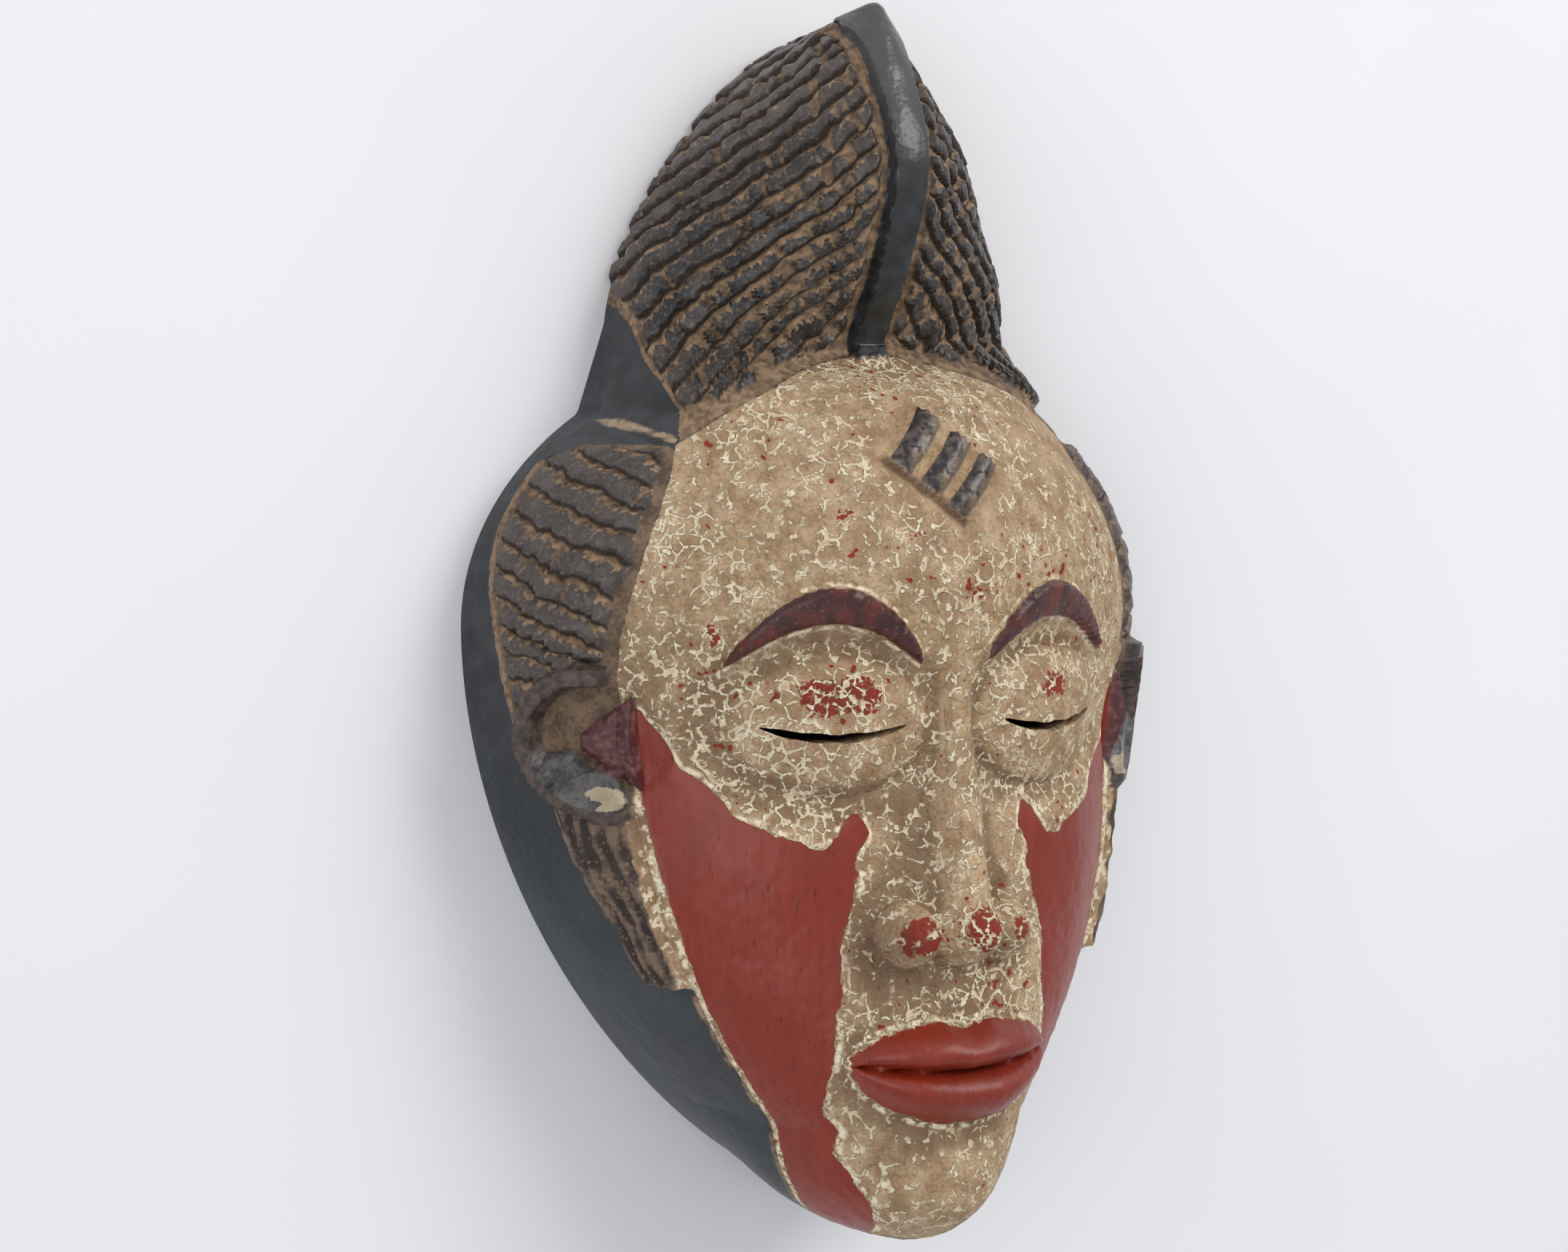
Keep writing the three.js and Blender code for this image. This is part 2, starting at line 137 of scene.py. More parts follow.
# Lines across the side of the head: share of the local depth, and height
LOBE_TOP = [
    (0, 194), (0.045, 201), (0.074, 206), (0.164, 210), (0.251, 213), (0.39, 213.5), (0.55, 213.5),
    (0.66, 212),
]
LOBE_FOOT = [(0.1, 147), (0.23, 141), (0.31, 146), (0.5, 157), (0.62, 164)]
WEDGE_LINE = [
    (0, 252), (0.16, 249.5), (0.35, 244), (0.456, 239.5), (0.546, 230.5), (0.592, 218.5), (0.62, 200),
    (1, 190),
]
CREASE = [(0, 209), (0.02, 211), (0.083, 215.5), (0.135, 219.5), (0.35, 218.5), (0.45, 217.7), (0.6, 214.5)]

BURN_TOP = 121.0
BURN_FOOT = 73.0
BURN_BACK = (0.49, 0.33)
BURN_OVERLAP = 2.0
STRAND_PITCH = 4.4

# The bead behind the side hair, and the ledge beside the face from the jaw to the ear
BEAD = {"in": 0.9, "half": 1.3, "height": 1.5, "top": 206.0}
LEDGE = {"low": 2.3, "high": 0.9, "wide": 11.0}

# How many millimetres round the side a share of the depth is, for each millimetre of depth
SHARE_TO_ACROSS = 1.2

# The sickle of red on a cheek: its inner edge up the face and its upper edge across it
CHEEK_INNER = [(4, 12), (18, 22), (40, 31), (62, 33), (86, 30), (108, 25), (124, 24)]
CHEEK_UPPER = [(16, 127), (24, 122), (34, 112), (48, 114), (60, 125), (70, 138), (80, 152)]

# Spots worn through to the red: place across and up, reach across and up, and strength
WORN_SPOTS = [
    (-33, 150, 15, 8, 0.85), (33, 150, 13, 7, 0.55), (0, 90, 9, 8, 0.9), (-15, 88, 8, 7, 0.9),
    (15, 88, 7, 6, 0.6), (-8, 190, 9, 5, 0.5), (6, 176, 10, 5, 0.55), (-30, 196, 7, 4, 0.35),
    (-60, 165, 4, 8, 0.4), (-12, 140, 5, 6, 0.4),
]

# The mesh: columns over the front, over each rim and over the hollow, and rows up the mask
FRONT_COLUMNS = 262
RIM_COLUMNS = 2
HOLLOW_COLUMNS = 36
ROWS = 324
CROWN_EDGE = 3.0
SMOOTH_ANGLE = math.radians(50)
HOLLOW = {"foot": 14.0, "top": 229.0, "foot_round": 40.0, "top_round": 44.0}


# Small helpers for arrays
def mix(a, b, t):
    return a + (b - a) * t


def ease(low, high, value):
    t = np.clip((value - low) / (high - low), 0, 1)
    return t * t * (3 - 2 * t)


def mound(r):
    return np.maximum(0, 1 - r * r) ** 0.8


def bump(r):
    return np.maximum(0, 1 - r * r) ** 2


def line(points, at):
    """Straight lines through the points of a list, read at each value"""
    return np.interp(at, [p[0] for p in points], [p[1] for p in points])


def curve(points, at):
    """A smooth curve through the points of a list, read at each value"""
    xs = np.array([p[0] for p in points], float)
    ys = np.array([p[1] for p in points], float)
    slopes = np.empty_like(xs)
    slopes[1:-1] = (ys[2:] - ys[:-2]) / (xs[2:] - xs[:-2])
    slopes[0] = (ys[1] - ys[0]) / (xs[1] - xs[0])
    slopes[-1] = (ys[-1] - ys[-2]) / (xs[-1] - xs[-2])
    i = np.clip(np.searchsorted(xs, at, side="left") - 1, 0, len(xs) - 2)
    span = xs[i + 1] - xs[i]
    t = np.clip((at - xs[i]) / span, 0, 1)
    bend = t * (1 - t) * span * (slopes[i] * (1 - t) - slopes[i + 1] * t)
    return mix(ys[i], ys[i + 1], t * t * (3 - 2 * t)) + bend


def along(points, share):
    """The pair at a share of the way through a list of pairs"""
    place = np.clip(share, 0, 1) * (len(points) - 1)
    steps = np.arange(len(points))
    return [np.interp(place, steps, [p[k] for p in points]) for k in (0, 1)]


def chance(*numbers):
    """A number from 0 to 1 that depends only on the whole numbers given"""
    total = sum(n * s for n, s in zip(numbers, (12.9898, 78.233, 37.719, 4.581)))
    return np.modf(np.abs(np.sin(total) * 43758.5453))[0]


def rough(x, y, z, seed=0):
    """Smooth noise from -1 to 1 with features one unit apart"""
    cells = [np.floor(a) for a in (x, y, z)]
    parts = [a - c for a, c in zip((x, y, z), cells)]
    sx, sy, sz = [p * p * (3 - 2 * p) for p in parts]
    total = 0
    for dx in (0, 1):
        for dy in (0, 1):
            for dz in (0, 1):
                weight = np.abs(1 - dx - sx) * np.abs(1 - dy - sy) * np.abs(1 - dz - sz)
                total = total + weight * chance(cells[0] + dx, cells[1] + dy, cells[2] + dz, seed)
    return 2 * total - 1


# The shell of the carving
def rim_half_width(h):
    t = np.clip((WIDEST - h) / WIDEST, 0, 1)
    jaw = HEAD_HALF_WIDTH * (1 - t ** 1.9) ** 0.75
    lobe = HEAD_HALF_WIDTH * np.sqrt(np.maximum(0, 1 - ((h - WIDEST) / LOBE_REACH) ** 2))
    neck = mix(NECK_FOOT_WIDTH, NECK_TOP_WIDTH, (h - NECK_FOOT) / (NECK_TOP - NECK_FOOT))
    s = np.clip((h - NECK_TOP) / (CREST_TOP - NECK_TOP), 0, 1)
    crest = np.maximum(APEX_WIDTH, NECK_TOP_WIDTH * (1 - s ** 1.5) ** 0.75)
    upper = np.maximum(lobe, np.where(h < NECK_TOP, neck, crest))
    return np.where(h <= WIDEST, jaw, upper)


def centre_depth(h):
    return FACE_DEPTH * curve(CENTRE_LINE, h)


def fullness(h):
    return mix(2.35, 1.8, ease(60, 130, h)) + 0.7 * bump((h - 240) / 34)


def lean(h, z):
    low = RIM_LIFT * (1 - h / WIDEST) * np.maximum(0, 1 - z / 70)
    high = -CROWN_FALL * np.clip((h - NECK_TOP) / 84, 0, 1) * np.maximum(0, 1 - z / 46)
    return np.where(h < WIDEST, low, high)


def hairline(x):
    return HAIRLINE_TOP - (HAIRLINE_TOP - TEMPLE_HEIGHT) * (np.abs(x) / TEMPLE_X) ** 1.8


def mouth_line(x):
    return MOUTH["h"] + 2 * (x / MOUTH["half"]) ** 2


def nose_relief(x, h):
    down = np.clip((NOSE["root"] - h) / (NOSE["root"] - NOSE["tip"]), 0, 1)
    top = mix(3, NOSE["height"], down ** 1.15)
    ends = ease(NOSE["base"] - 2, NOSE["tip"], h) * (1 - ease(NOSE["root"], NOSE["root"] + 20, h))
    ridge = top * ends * (1 - ease(0.15, 1, np.abs(x) / mix(8, 14, down)))
    tip = BALL["height"] * mound(np.hypot(x / BALL["rx"], (h - NOSE["tip"]) / BALL["ry"]))
    side = np.hypot((np.abs(x) - WING["x"]) / WING["rx"], (h - WING["h"]) / WING["ry"])
    parts = [ridge, tip, WING["height"] * mound(side)]
    soft = 1.6
    return soft * np.log(sum(np.exp(p / soft) for p in parts) - 2)


def lips(x, h):
    """Share of the way through each lip, 0 at the mouth line, and how far the lip reaches across"""
    across = np.sqrt(np.maximum(0, 1 - (x / (MOUTH["half"] + 1.5)) ** 2))
    above = h - mouth_line(x)
    bow = 1 - 0.16 * bump(x / 8)
    thick = np.where(above > 0, MOUTH["upper"] * bow, MOUTH["lower"]) * across
    return np.abs(above) / np.maximum(thick, 0.5), across, thick


def lip_relief(x, h):
    t, across, thick = lips(x, h)
    t = np.clip(t, 0, 1)
    raised = MOUTH["height"] * across ** 0.6 * np.sin(np.pi * t ** 0.75) ** 0.7
    return np.where(thick < 0.5, 0, raised)


def face_relief(x, h):
    side = np.abs(x)
    orbit = np.hypot((side - EYE["x"]) / (1.45 * EYE["rx"]), (h - EYE["h"]) / (1.6 * EYE["ry"]))
    lid = np.hypot((side - EYE["x"]) / EYE["rx"], (h - EYE["h"]) / EYE["ry"])
    muzzle = np.hypot(x / 42, (h - MOUTH["h"]) / 36)
    point = np.hypot(x / CHIN["rx"], (h - CHIN["h"]) / CHIN["ry"])
    cheek = np.hypot((side - 50) / 26, (h - 108) / 28)
    low = 4 * bump(muzzle) + CHIN["height"] * bump(point) + 3 * bump(cheek)
    eyes = 11.5 * mound(lid) - 7 * bump(orbit)
    return low + eyes + nose_relief(x, h) + lip_relief(x, h)


def shell(phi, h):
    """x, y and z of the shell, and its depth before the face is carved"""
    power = 2 / fullness(h)
    rise = np.maximum(0, np.cos(phi)) ** power
    rim = rim_half_width(h)
    t = np.clip(1 - h / CHIN_ROUND["height"], 0, 1)
    chin = np.maximum(rim, CHIN_ROUND["half_width"] * np.sqrt(1 - t * t))
    half = np.where(h < CHIN_ROUND["height"], mix(rim, chin, ease(0, 0.7, rise)), rim)
    x = np.sign(phi) * half * np.abs(np.sin(phi)) ** power
    base = centre_depth(h) * rise
    front = ease(0.25, 0.6, base / FACE_DEPTH) * (1 - ease(-2, 2, h - HAIRLINE_TOP))
    return x, h + lean(h, base), base + front * face_relief(x, h), base


# What is carved on the shell
def row_field(phi, h, starts, ends, rows):
    """Row number at each point of the grid, by reading every column against the rows' lines"""
    shares = np.linspace(0, 1, 600)
    start_share, start_height = along(starts, shares)
    end_share, end_height = along(ends, shares)
    start_phi = np.arccos(start_share ** (fullness(start_height) / 2))
    end_phi = np.arccos(end_share ** (fullness(end_height) / 2))
    found = np.empty_like(h)
    for column in range(h.shape[1]):
        t = (abs(phi[0, column]) - start_phi) / (end_phi - start_phi)
        here = (t > -0.12) & (t < 1.12)
        if not here.any():
            here = np.abs(t - 0.5) == np.abs(t - 0.5).min()
        heights = mix(start_height, end_height, t)[here]
        order = np.argsort(heights)
        lowest, highest = heights[order[0]], heights[order[-1]]
        at = h[:, column]
        inside = np.interp(at, heights[order], rows * shares[here][order])
        beyond = np.maximum(0, at - highest) - np.maximum(0, lowest - at)
        turned = np.sign(end_height[-1] - end_height[0])
        found[:, column] = inside + turned * beyond / ROW_PITCH
    return found


def straighten(row, phi, h, x, base):
    """Rows below the crest's foot, read where they would cross if the crest's section ran on down"""
    half = phi.shape[1] // 2 + 1
    angles = phi[0, :half]
    foot_x, _, _, foot_base = shell(angles, np.full(half, NECK_TOP))
    foot = foot_base * math.sin(VIEW_SIDE) + foot_x * math.cos(VIEW_SIDE)
    straight = row.copy()
    for i in np.flatnonzero(h[:, 0] < NECK_TOP):
        seen = base[i] * math.sin(VIEW_SIDE) - np.abs(x[i]) * math.cos(VIEW_SIDE)
        straight[i] = np.interp(np.interp(seen, foot, angles), angles, row[i, :half])
    return straight


def cross_cuts(at, run, chip, seed, often, wide):
    """Short cuts across the bars, at uneven places: 1 in a cut and 0 on the wood"""
    number = np.floor(at)
    part = at - number
    place = run / chip + 7 * chance(number, seed)
    nearest = np.round(place)
    shift = 0.34 * (2 * chance(number, nearest, seed) - 1)
    slant = 2.6 * (chance(nearest, number, seed + 3) - 0.35) * (part - 0.4)
    gap = np.abs((place - nearest - shift) * chip + slant)
    width = wide * mix(0.5, 1.5, part) * mix(0.6, 1.3, chance(number, nearest, seed + 4))
    deep = chance(nearest, number, seed + 5)
    return np.where(deep < often, 0.55 + 0.45 * deep / often, 0) * (1 - ease(0.45, 1.1, gap / width))


def braid_relief(row, run, chip, seed, small, wide):
    """Bars, cut away steeply below and bevelled above: their height, the cuts and the wavy row number"""
    at = row + 0.13 * rough(run * 0.2, row * 0.5, row * 0, seed)
    at = at + 0.09 * rough(run * 0.5, row, row * 0, seed + 9)
    number = np.floor(at)
    part = at - number
    ragged = 0.12 * rough(run * 0.45, number * 3.1, part * 2, seed + 1)
    ragged = ragged + 0.1 * rough(run * 0.12, number * 2.3, part * 0, seed + 8)
    bars = ease(0.0, 0.1, part) * (1 - ease(0.64 + ragged, 0.98, part))
    cut = cross_cuts(at, run, chip, seed, 0.62, wide)
    cut = np.maximum(cut, small * cross_cuts(at, run + 3, SMALL_CHIP, seed + 20, 0.75, wide))
    chips = 0.2 * rough(run / 7, number * 1.7, part, seed + 2)
    chips = chips + 0.14 * rough(run / 2.2, at * 2.4, number, seed + 6)
    return bars * (1 - 0.85 * cut) * (0.9 + chips), cut, at


def spread(values, reach):
    """Values evened out over the grid, a few points either way"""
    for _ in range(3):
        for axis in (0, 1):
            first = values.take([0] * reach, axis)
            last = values.take([-1] * reach, axis)
            padded = np.concatenate([first, values, last], axis)
            total = np.cumsum(padded, axis=axis)
            low = total.take(range(values.shape[axis]), axis)
            high = total.take(range(2 * reach, 2 * reach + values.shape[axis]), axis)
            values = (high - low) / (2 * reach)
    return values


def ear_parts(share, h, across):
    """The ear: its relief, the distance inside its rim, its low facet, the chip there and the wedge"""
    forward = (share - EAR["share"]) / EAR["reach"]
    upward = (h - EAR["h"]) / EAR["rise"]
    ring = np.hypot(forward, upward)
    turn = np.arctan2(upward, forward) / np.pi % 2
    reach = ease(0.4, 0.5, turn) * (1 - ease(1.52, 1.64, turn))
    swell = mix(0.7, 1, np.sin(np.pi * np.clip((turn - 0.42) / 1.15, 0, 1)))
    rim = (1 - ease(0.11, 0.19, np.abs(ring - 1))) * reach * swell
    low = ease(1.02, 1.12, turn) * (1 - ease(1.56, 1.64, turn))
    low = low * ease(0.34, 0.42, ring) * (1 - ease(0.9, 0.98, ring))
    facet = low * mix(0.28, 0.72, ring)
    taper = np.clip((TRAGUS["to"] - share) / (TRAGUS["to"] - TRAGUS["from"]), 0, 1)
    half = TRAGUS["half"] * (1 - 0.85 * taper)
    lengthwise = np.minimum(share - TRAGUS["from"], TRAGUS["to"] - share) * across
    wedge = np.minimum(half - np.abs(h - EAR["h"]), lengthwise)
    slope = (1 - 0.4 * taper) * (1 - 0.6 * np.abs(h - EAR["h"]) / half)
    relief = np.maximum(EAR_HEIGHT * np.maximum(rim, facet), TRAGUS_HEIGHT * slope * ease(-0.2, 0.8, wedge))
    cup = 1.3 * (1 - ease(0.7, 0.9, ring)) * (1 - low)
    ragged = 0.09 * rough(ring * 7, turn * 8, 0 * h, 45)
    chip = low * ease(1.44, 1.5, turn + ragged) * ease(0.54, 0.66, ring + 1.3 * ragged)
    return relief - cup, (np.maximum(rim, facet) - 0.22) * 8, low, chip, wedge


def lozenges(x, h):
    """Strips of stepped facets on a block: relief, distances inside both, wear, and the band along the lower
    edge where shadow is painted
    """
    aside = x / ORNAMENT["half_width"]
    rise = (h - ORNAMENT["h"]) / ORNAMENT["half_height"]
    a = (aside + rise) / ORNAMENT["along"]
    b = (aside - rise) / ORNAMENT["across"]
    lengthwise = (a + 1) * (FACETS / 2)
    sideways = (b + 1) * (FACETS / 2)
    step = lengthwise % 1
    strip = np.abs(sideways % 1 - 0.5)
    number = np.floor(lengthwise) + FACETS * np.floor(sideways)
    block = (1 - np.maximum(np.abs(a), np.abs(b))) * BLOCK_HALF
    inside = np.minimum((0.5 - ORNAMENT["gap"] - strip) * 9, block - 0.2)
    roof = 0.3 + 0.6 * step - 0.9 * strip + 0.3 * chance(number, 3)
    relief = LOZENGE_HEIGHT * (0.45 * ease(-0.6, 0.3, block) + roof * ease(-0.3, 0.5, inside))
    # The band along the block's lower edge: painted shadow, also over the block's brown side
    under = np.minimum(1.2 - np.abs((-1 - a) * BLOCK_HALF - 0.6), (1.02 - np.abs(b)) * BLOCK_HALF)
    wear = 0.45 * step + 0.75 * (sideways % 1 - ORNAMENT["gap"]) / (1 - 2 * ORNAMENT["gap"])
    return relief, inside, block, wear, under


def carve(phi, h):
    """Everything that the shell carries: offsets along its normal, and the marks that the paint follows"""
    x, y, z, base = shell(phi, h)
    depth = centre_depth(h)
    share = base / depth
    side = np.abs(x)
    across = SHARE_TO_ACROSS * depth
    flat = 0 * h
    steps = np.hypot(np.diff(x, axis=1, prepend=x[:, :1]), np.diff(base, axis=1, prepend=base[:, :1]))
    arc = np.cumsum(steps, axis=1)
    arc = np.minimum(arc, arc[:, -1:] - arc)

    # Zones, as distances inside their edges
    edge_gap = (share - curve(FACE_EDGE, h)) * across
    face = np.minimum(edge_gap, hairline(x) - h)
    band = RIDGE_HALF_WIDTH * ease(0.6, 0.85, share) - side
    from_back = (share - curve(HAIR_BACK, h)) * across
    crest_low = np.maximum(hairline(x), np.where(share < 0.6, line(WEDGE_LINE, share), 0))
    crest = np.minimum((h - crest_low) * 0.8, -band - 0.6)
    panel = np.minimum(np.minimum(from_back, -edge_gap), np.minimum(line(LOBE_TOP, share) - h, h - BURN_FOOT))
    ends = 1.6 * rough(h / 4, share * 3, flat, 41)
    lobe = np.minimum(from_back - LOBE_MARGIN, -edge_gap - LOBE_MARGIN + ends)
    lobe = np.minimum(lobe, line(LOBE_TOP, share) - h - 1.2)
    lobe = np.minimum(lobe, h - line(LOBE_FOOT, share))
    down = ease(BURN_FOOT, BURN_TOP, h)
    behind = (share - mix(*BURN_BACK, down)) * across
    ahead = BURN_OVERLAP - edge_gap
    burn = np.minimum(np.minimum(behind, ahead), np.minimum(h - BURN_FOOT, BURN_TOP - h))

    # Braids
    crest_row = straighten(row_field(phi, h, CREST_STARTS, CREST_ENDS, CREST_ROWS), phi, h, x, base)
    lobe_row = row_field(phi, h, LOBE_STARTS, LOBE_ENDS, LOBE_ROWS)
    near_ridge = mix(0.45, 1, ease(0.5, 0.85, share))
    wide_cuts = mix(1.0, 1.7, ease(0.55, 0.9, share))
    crest_run = CREST_SLOPE * (arc + h)
    crest_top, crest_cut, crest_row = braid_relief(crest_row, crest_run, CREST_CHIP, 1, near_ridge, wide_cuts)
    lobe_run = LOBE_SLOPE[0] * arc - LOBE_SLOPE[1] * h
    lobe_row = LOBE_COUNT_FROM - lobe_row
    lobe_top, lobe_cut, lobe_row = braid_relief(lobe_row, lobe_run, LOBE_CHIP, 3, 0.3, 1.0)
    hem = 1.9 + 0.8 * (1 - ease(0.55, 0.65, share)) + 2.4 * bump((share - 0.64) / 0.16)
    hem = hem + 0.8 * rough(arc / 3, h / 3, flat, 42)
    bars = np.maximum(crest - hem, lobe)
    crest_proud = mix(GROOVE_HEIGHT, BRAID_HEIGHT, crest_top) * ease(-0.5, 1.3, crest - hem)
    lobe_proud = mix(GROOVE_HEIGHT, BRAID_HEIGHT, lobe_top) * ease(0, 1.4, lobe)
    proud = np.maximum(crest_proud, 0.35 * ease(0, 1, crest))
    proud = np.maximum(proud, 0.9 * ease(-0.3, 1, panel))
    proud = np.where(lobe > 0, np.maximum(lobe_proud, 0.5 * ease(0, 1, lobe)), proud)
    on_crest = crest > lobe
    run = np.where(on_crest, crest_run, lobe_run)
    cut = np.where(on_crest, crest_cut, lobe_cut)
    row = np.where(on_crest, crest_row, lobe_row)

    # The ridge, the step beside the face and the crease above the side hair
    proud = np.maximum(proud, RIDGE_HEIGHT * ease(-1, 1, h - HAIRLINE_TOP + 2) * ease(-0.1, 1.1, band))
    ledge = mix(LEDGE["low"], LEDGE["high"], ease(70, 124, h)) * (h < hairline(x))
    ledge = ledge * ease(-LEDGE["wide"], -0.8, edge_gap) * (1 - ease(-0.4, 0.5, edge_gap))
    proud = proud - ledge * (burn < 0)
    above = h - line(CREASE, share)
    behind_face = 1 - ease(-2, 1, edge_gap)
    crease = mix(-0.7, 0.9, ease(0.08, 0.32, share)) + 0.2 * rough(share * 14, flat, flat, 44)
    crease = crease - np.abs(above - 0.4 - 0.5 * rough(share * 9, flat, flat, 43))
    crease = crease - 4 * ease(0, 2, edge_gap)
    step_down = mix(0.6, 1.6, ease(0.1, 0.3, share)) * behind_face * ease(0.0, 0.03, share)
    proud = proud - step_down * ease(-0.3, 1.2, above) * (1 - ease(3, 16, above))
    proud = proud - 0.8 * ease(0.25, 0.4, share) * behind_face * bump((above + 1.2) / 1.3)
    bead = BEAD["half"] - np.abs(from_back - BEAD["in"])
    bead_on = ease(BURN_FOOT, BURN_FOOT + 2, h) * (1 - ease(BEAD["top"], BEAD["top"] + 6, h))
    proud = np.maximum(proud, BEAD["height"] * bead_on * ease(0, 1.1, bead))

    # Ears, the hair in front of them, brows and the ornament
    turns = behind / STRAND_PITCH + 0.8 * rough(share * 5, h / 10, flat, 31)
    strands = 0.5 + 0.5 * np.cos(2 * np.pi * turns)
    strands = 0.6 * strands + 0.4 + 0.35 * rough(behind / 2.6, h / 3.4, flat, 33)
    strip = ease(3.6, 5.2, ahead + rough(h / 4, flat, flat, 34))
    locks = 0.6 + 0.4 * strands + 0.12 * rough(share * 30, h / 5, flat, 32)
    burn_edges = ease(-0.2, 3.2, np.minimum(behind, h - BURN_FOOT + 2)) * ease(-0.1, 0.9, burn)
    proud = np.maximum(proud, SIDEBURN_HEIGHT * mix(0.35, locks, strip) * burn_edges)
    ear, ear_rim, ear_low, ear_chip, tragus = ear_parts(share, h, across)
    proud = np.where(ear > 0.02, np.maximum(proud, ear), proud + np.minimum(0, ear) * (lobe < 0))
    t = (side - BROW["from"]) / (BROW["to"] - BROW["from"]) * 2 - 1
    brow_half = BROW["half"] * np.sqrt(np.maximum(0.0, 1 - t * t))
    brow = brow_half - np.abs(h - BROW["foot"] - BROW["rise"] * (1 - t * t))
    brow = np.where(np.abs(t) < 1, brow, -9)
    proud = proud + BROW_HEIGHT * ease(-0.3, 1.2, brow) * (face > 0)
    lozenge_relief, lozenge, patch, facet_wear, shadow_under_block = lozenges(x, h)
    shadow_under_block = np.where(share > 0.7, shadow_under_block, -9)
    proud = proud + lozenge_relief

    # A soft unevenness everywhere, and grain in the ground
    calm = 0.28 * rough(x / 11, y / 14, base / 11, 2) + 0.1 * rough(x / 3.5, y / 4.5, base / 3.5, 4)
    crust = 0.14 * rough(x / 1.7, y / 1.7, base / 1.7, 6) * ease(0, 2, face)
    proud = proud + (calm + crust) * ease(0.0, 0.06, share)

    t_lip, _, thick_lip = lips(x, h)
    lip = np.where(thick_lip < 0.5, -9, (1 - t_lip) * np.maximum(thick_lip, 0.5))
    sunk = spread(z, 7) - z
    marks = {
        "row": row,
        "crest": crest,
        "lobe": lobe,
        "cut": cut,
        "run": run,
        "bars": bars,
        "face": face,
        "panel": np.maximum(panel, np.where(bead_on > 0.5, bead, -9)),
        "band": np.minimum(band, h - HAIRLINE_TOP + 2),
        "burn": burn,
        "strand": strands,
        "ahead": np.where(burn > -1, ahead, 9),
        "edge": edge_gap,
        "ear": ear_rim,
        "ear_low": ear_low,
        "ear_chip": ear_chip,
        "tragus": tragus,
        "brow": np.minimum(brow, face),
        "lozenge": lozenge,
        "facet": facet_wear,
        "patch": patch,
        # Band along the ornament's lower edge, where shadow is painted
        "shadow_under_block": shadow_under_block,
        "bead": np.where(bead_on > 0.5, bead, -9),
        "crease": crease,
        # A dark line painted just below the crease
        "dark_crease_line": 0.9 - np.abs(above + 1.2) - 4 * ease(-3, -1, edge_gap) - 4 * (1 - ease(0.25, 0.45, share)),
        "red": np.maximum(cheek_paint(side, h, edge_gap), np.where(lip > -8, lip - 0.4, -9)),
        "worn": worn_spots(x, h),
        # A darker patch on the red beside one wing of the nose
        "stain": bump(np.hypot((x + 24) / 12, (h - 84) / 20)),
        "sunk": np.clip(sunk, -3, 3),
        # Higher up the crest and near the rims: partly wear, partly painted sheen
        "wear_and_sheen": np.maximum(ease(268, 318, h), 1 - ease(0.1, 0.4, share)),
        "lower": 1 - ease(110, 150, h),
        "inside": np.zeros_like(h),
    }
    return proud, marks


def cheek_paint(side, h, edge_gap):
    """Distance inside the red of the cheeks: a sickle from the temple to the nose and down to the jaw"""
    inner = curve(CHEEK_INNER, h)
    upper = curve(CHEEK_UPPER, side)
    wavy = 1.6 * rough(side / 6, h / 6, 0 * h, 51)
    return np.minimum(np.minimum(side - inner, (upper - h) * 0.8) + wavy, edge_gap - 2.2)


def worn_spots(x, h):
    """How far the ground has worn through to the red"""
    total = np.zeros_like(x)
    for at_x, at_h, rx, ry, strength in WORN_SPOTS:
        total = np.maximum(total, strength * bump(0.8 * np.hypot((x - at_x) / rx, (h - at_h) / ry)))
    return total


# The mask's mesh
def deselect_all():
    bpy.ops.object.select_all(action="DESELECT")


def normals_of(points):
    """Normals of a grid of points"""
    up = np.gradient(points, axis=0)
    out = np.gradient(points, axis=1)
    n = np.cross(out, up)
    return n / np.maximum(np.linalg.norm(n, axis=2, keepdims=True), 1e-9)


def row_heights():
    t = np.linspace(0, 1, ROWS + 1)
    return mix(0.25, MASK_HEIGHT, t - 0.35 * np.sin(2 * np.pi * t) / (2 * np.pi))


def front_sheet(heights):
    """The carved front, from the mask's right rim to its left"""
    s = np.linspace(-1, 1, FRONT_COLUMNS + 1)
    phi, h = np.meshgrid(np.pi / 2 * s * (0.86 + 0.14 * s * s), heights)
    x, y, z, base = shell(phi, h)
    points = np.stack([x, y, z], axis=2)
    proud, marks = carve(phi, h)
    cap = ease(0, 1.5, MASK_HEIGHT - h)
    points = points + normals_of(points) * (proud * ease(0.0, 0.02, base / FACE_DEPTH) * cap)[:, :, None]
    crown = np.sqrt(1 - np.clip((h - MASK_HEIGHT + CROWN_EDGE) / 3.2, 0, 1) ** 2)
    points[:, :, 0] *= crown
    points[:, :, 2] -= CROWN_EDGE * (1 - crown) * ease(0, 0.3, base / FACE_DEPTH)
    points[:, 0, 2] = 0
    points[:, -1, 2] = 0
    return points, marks


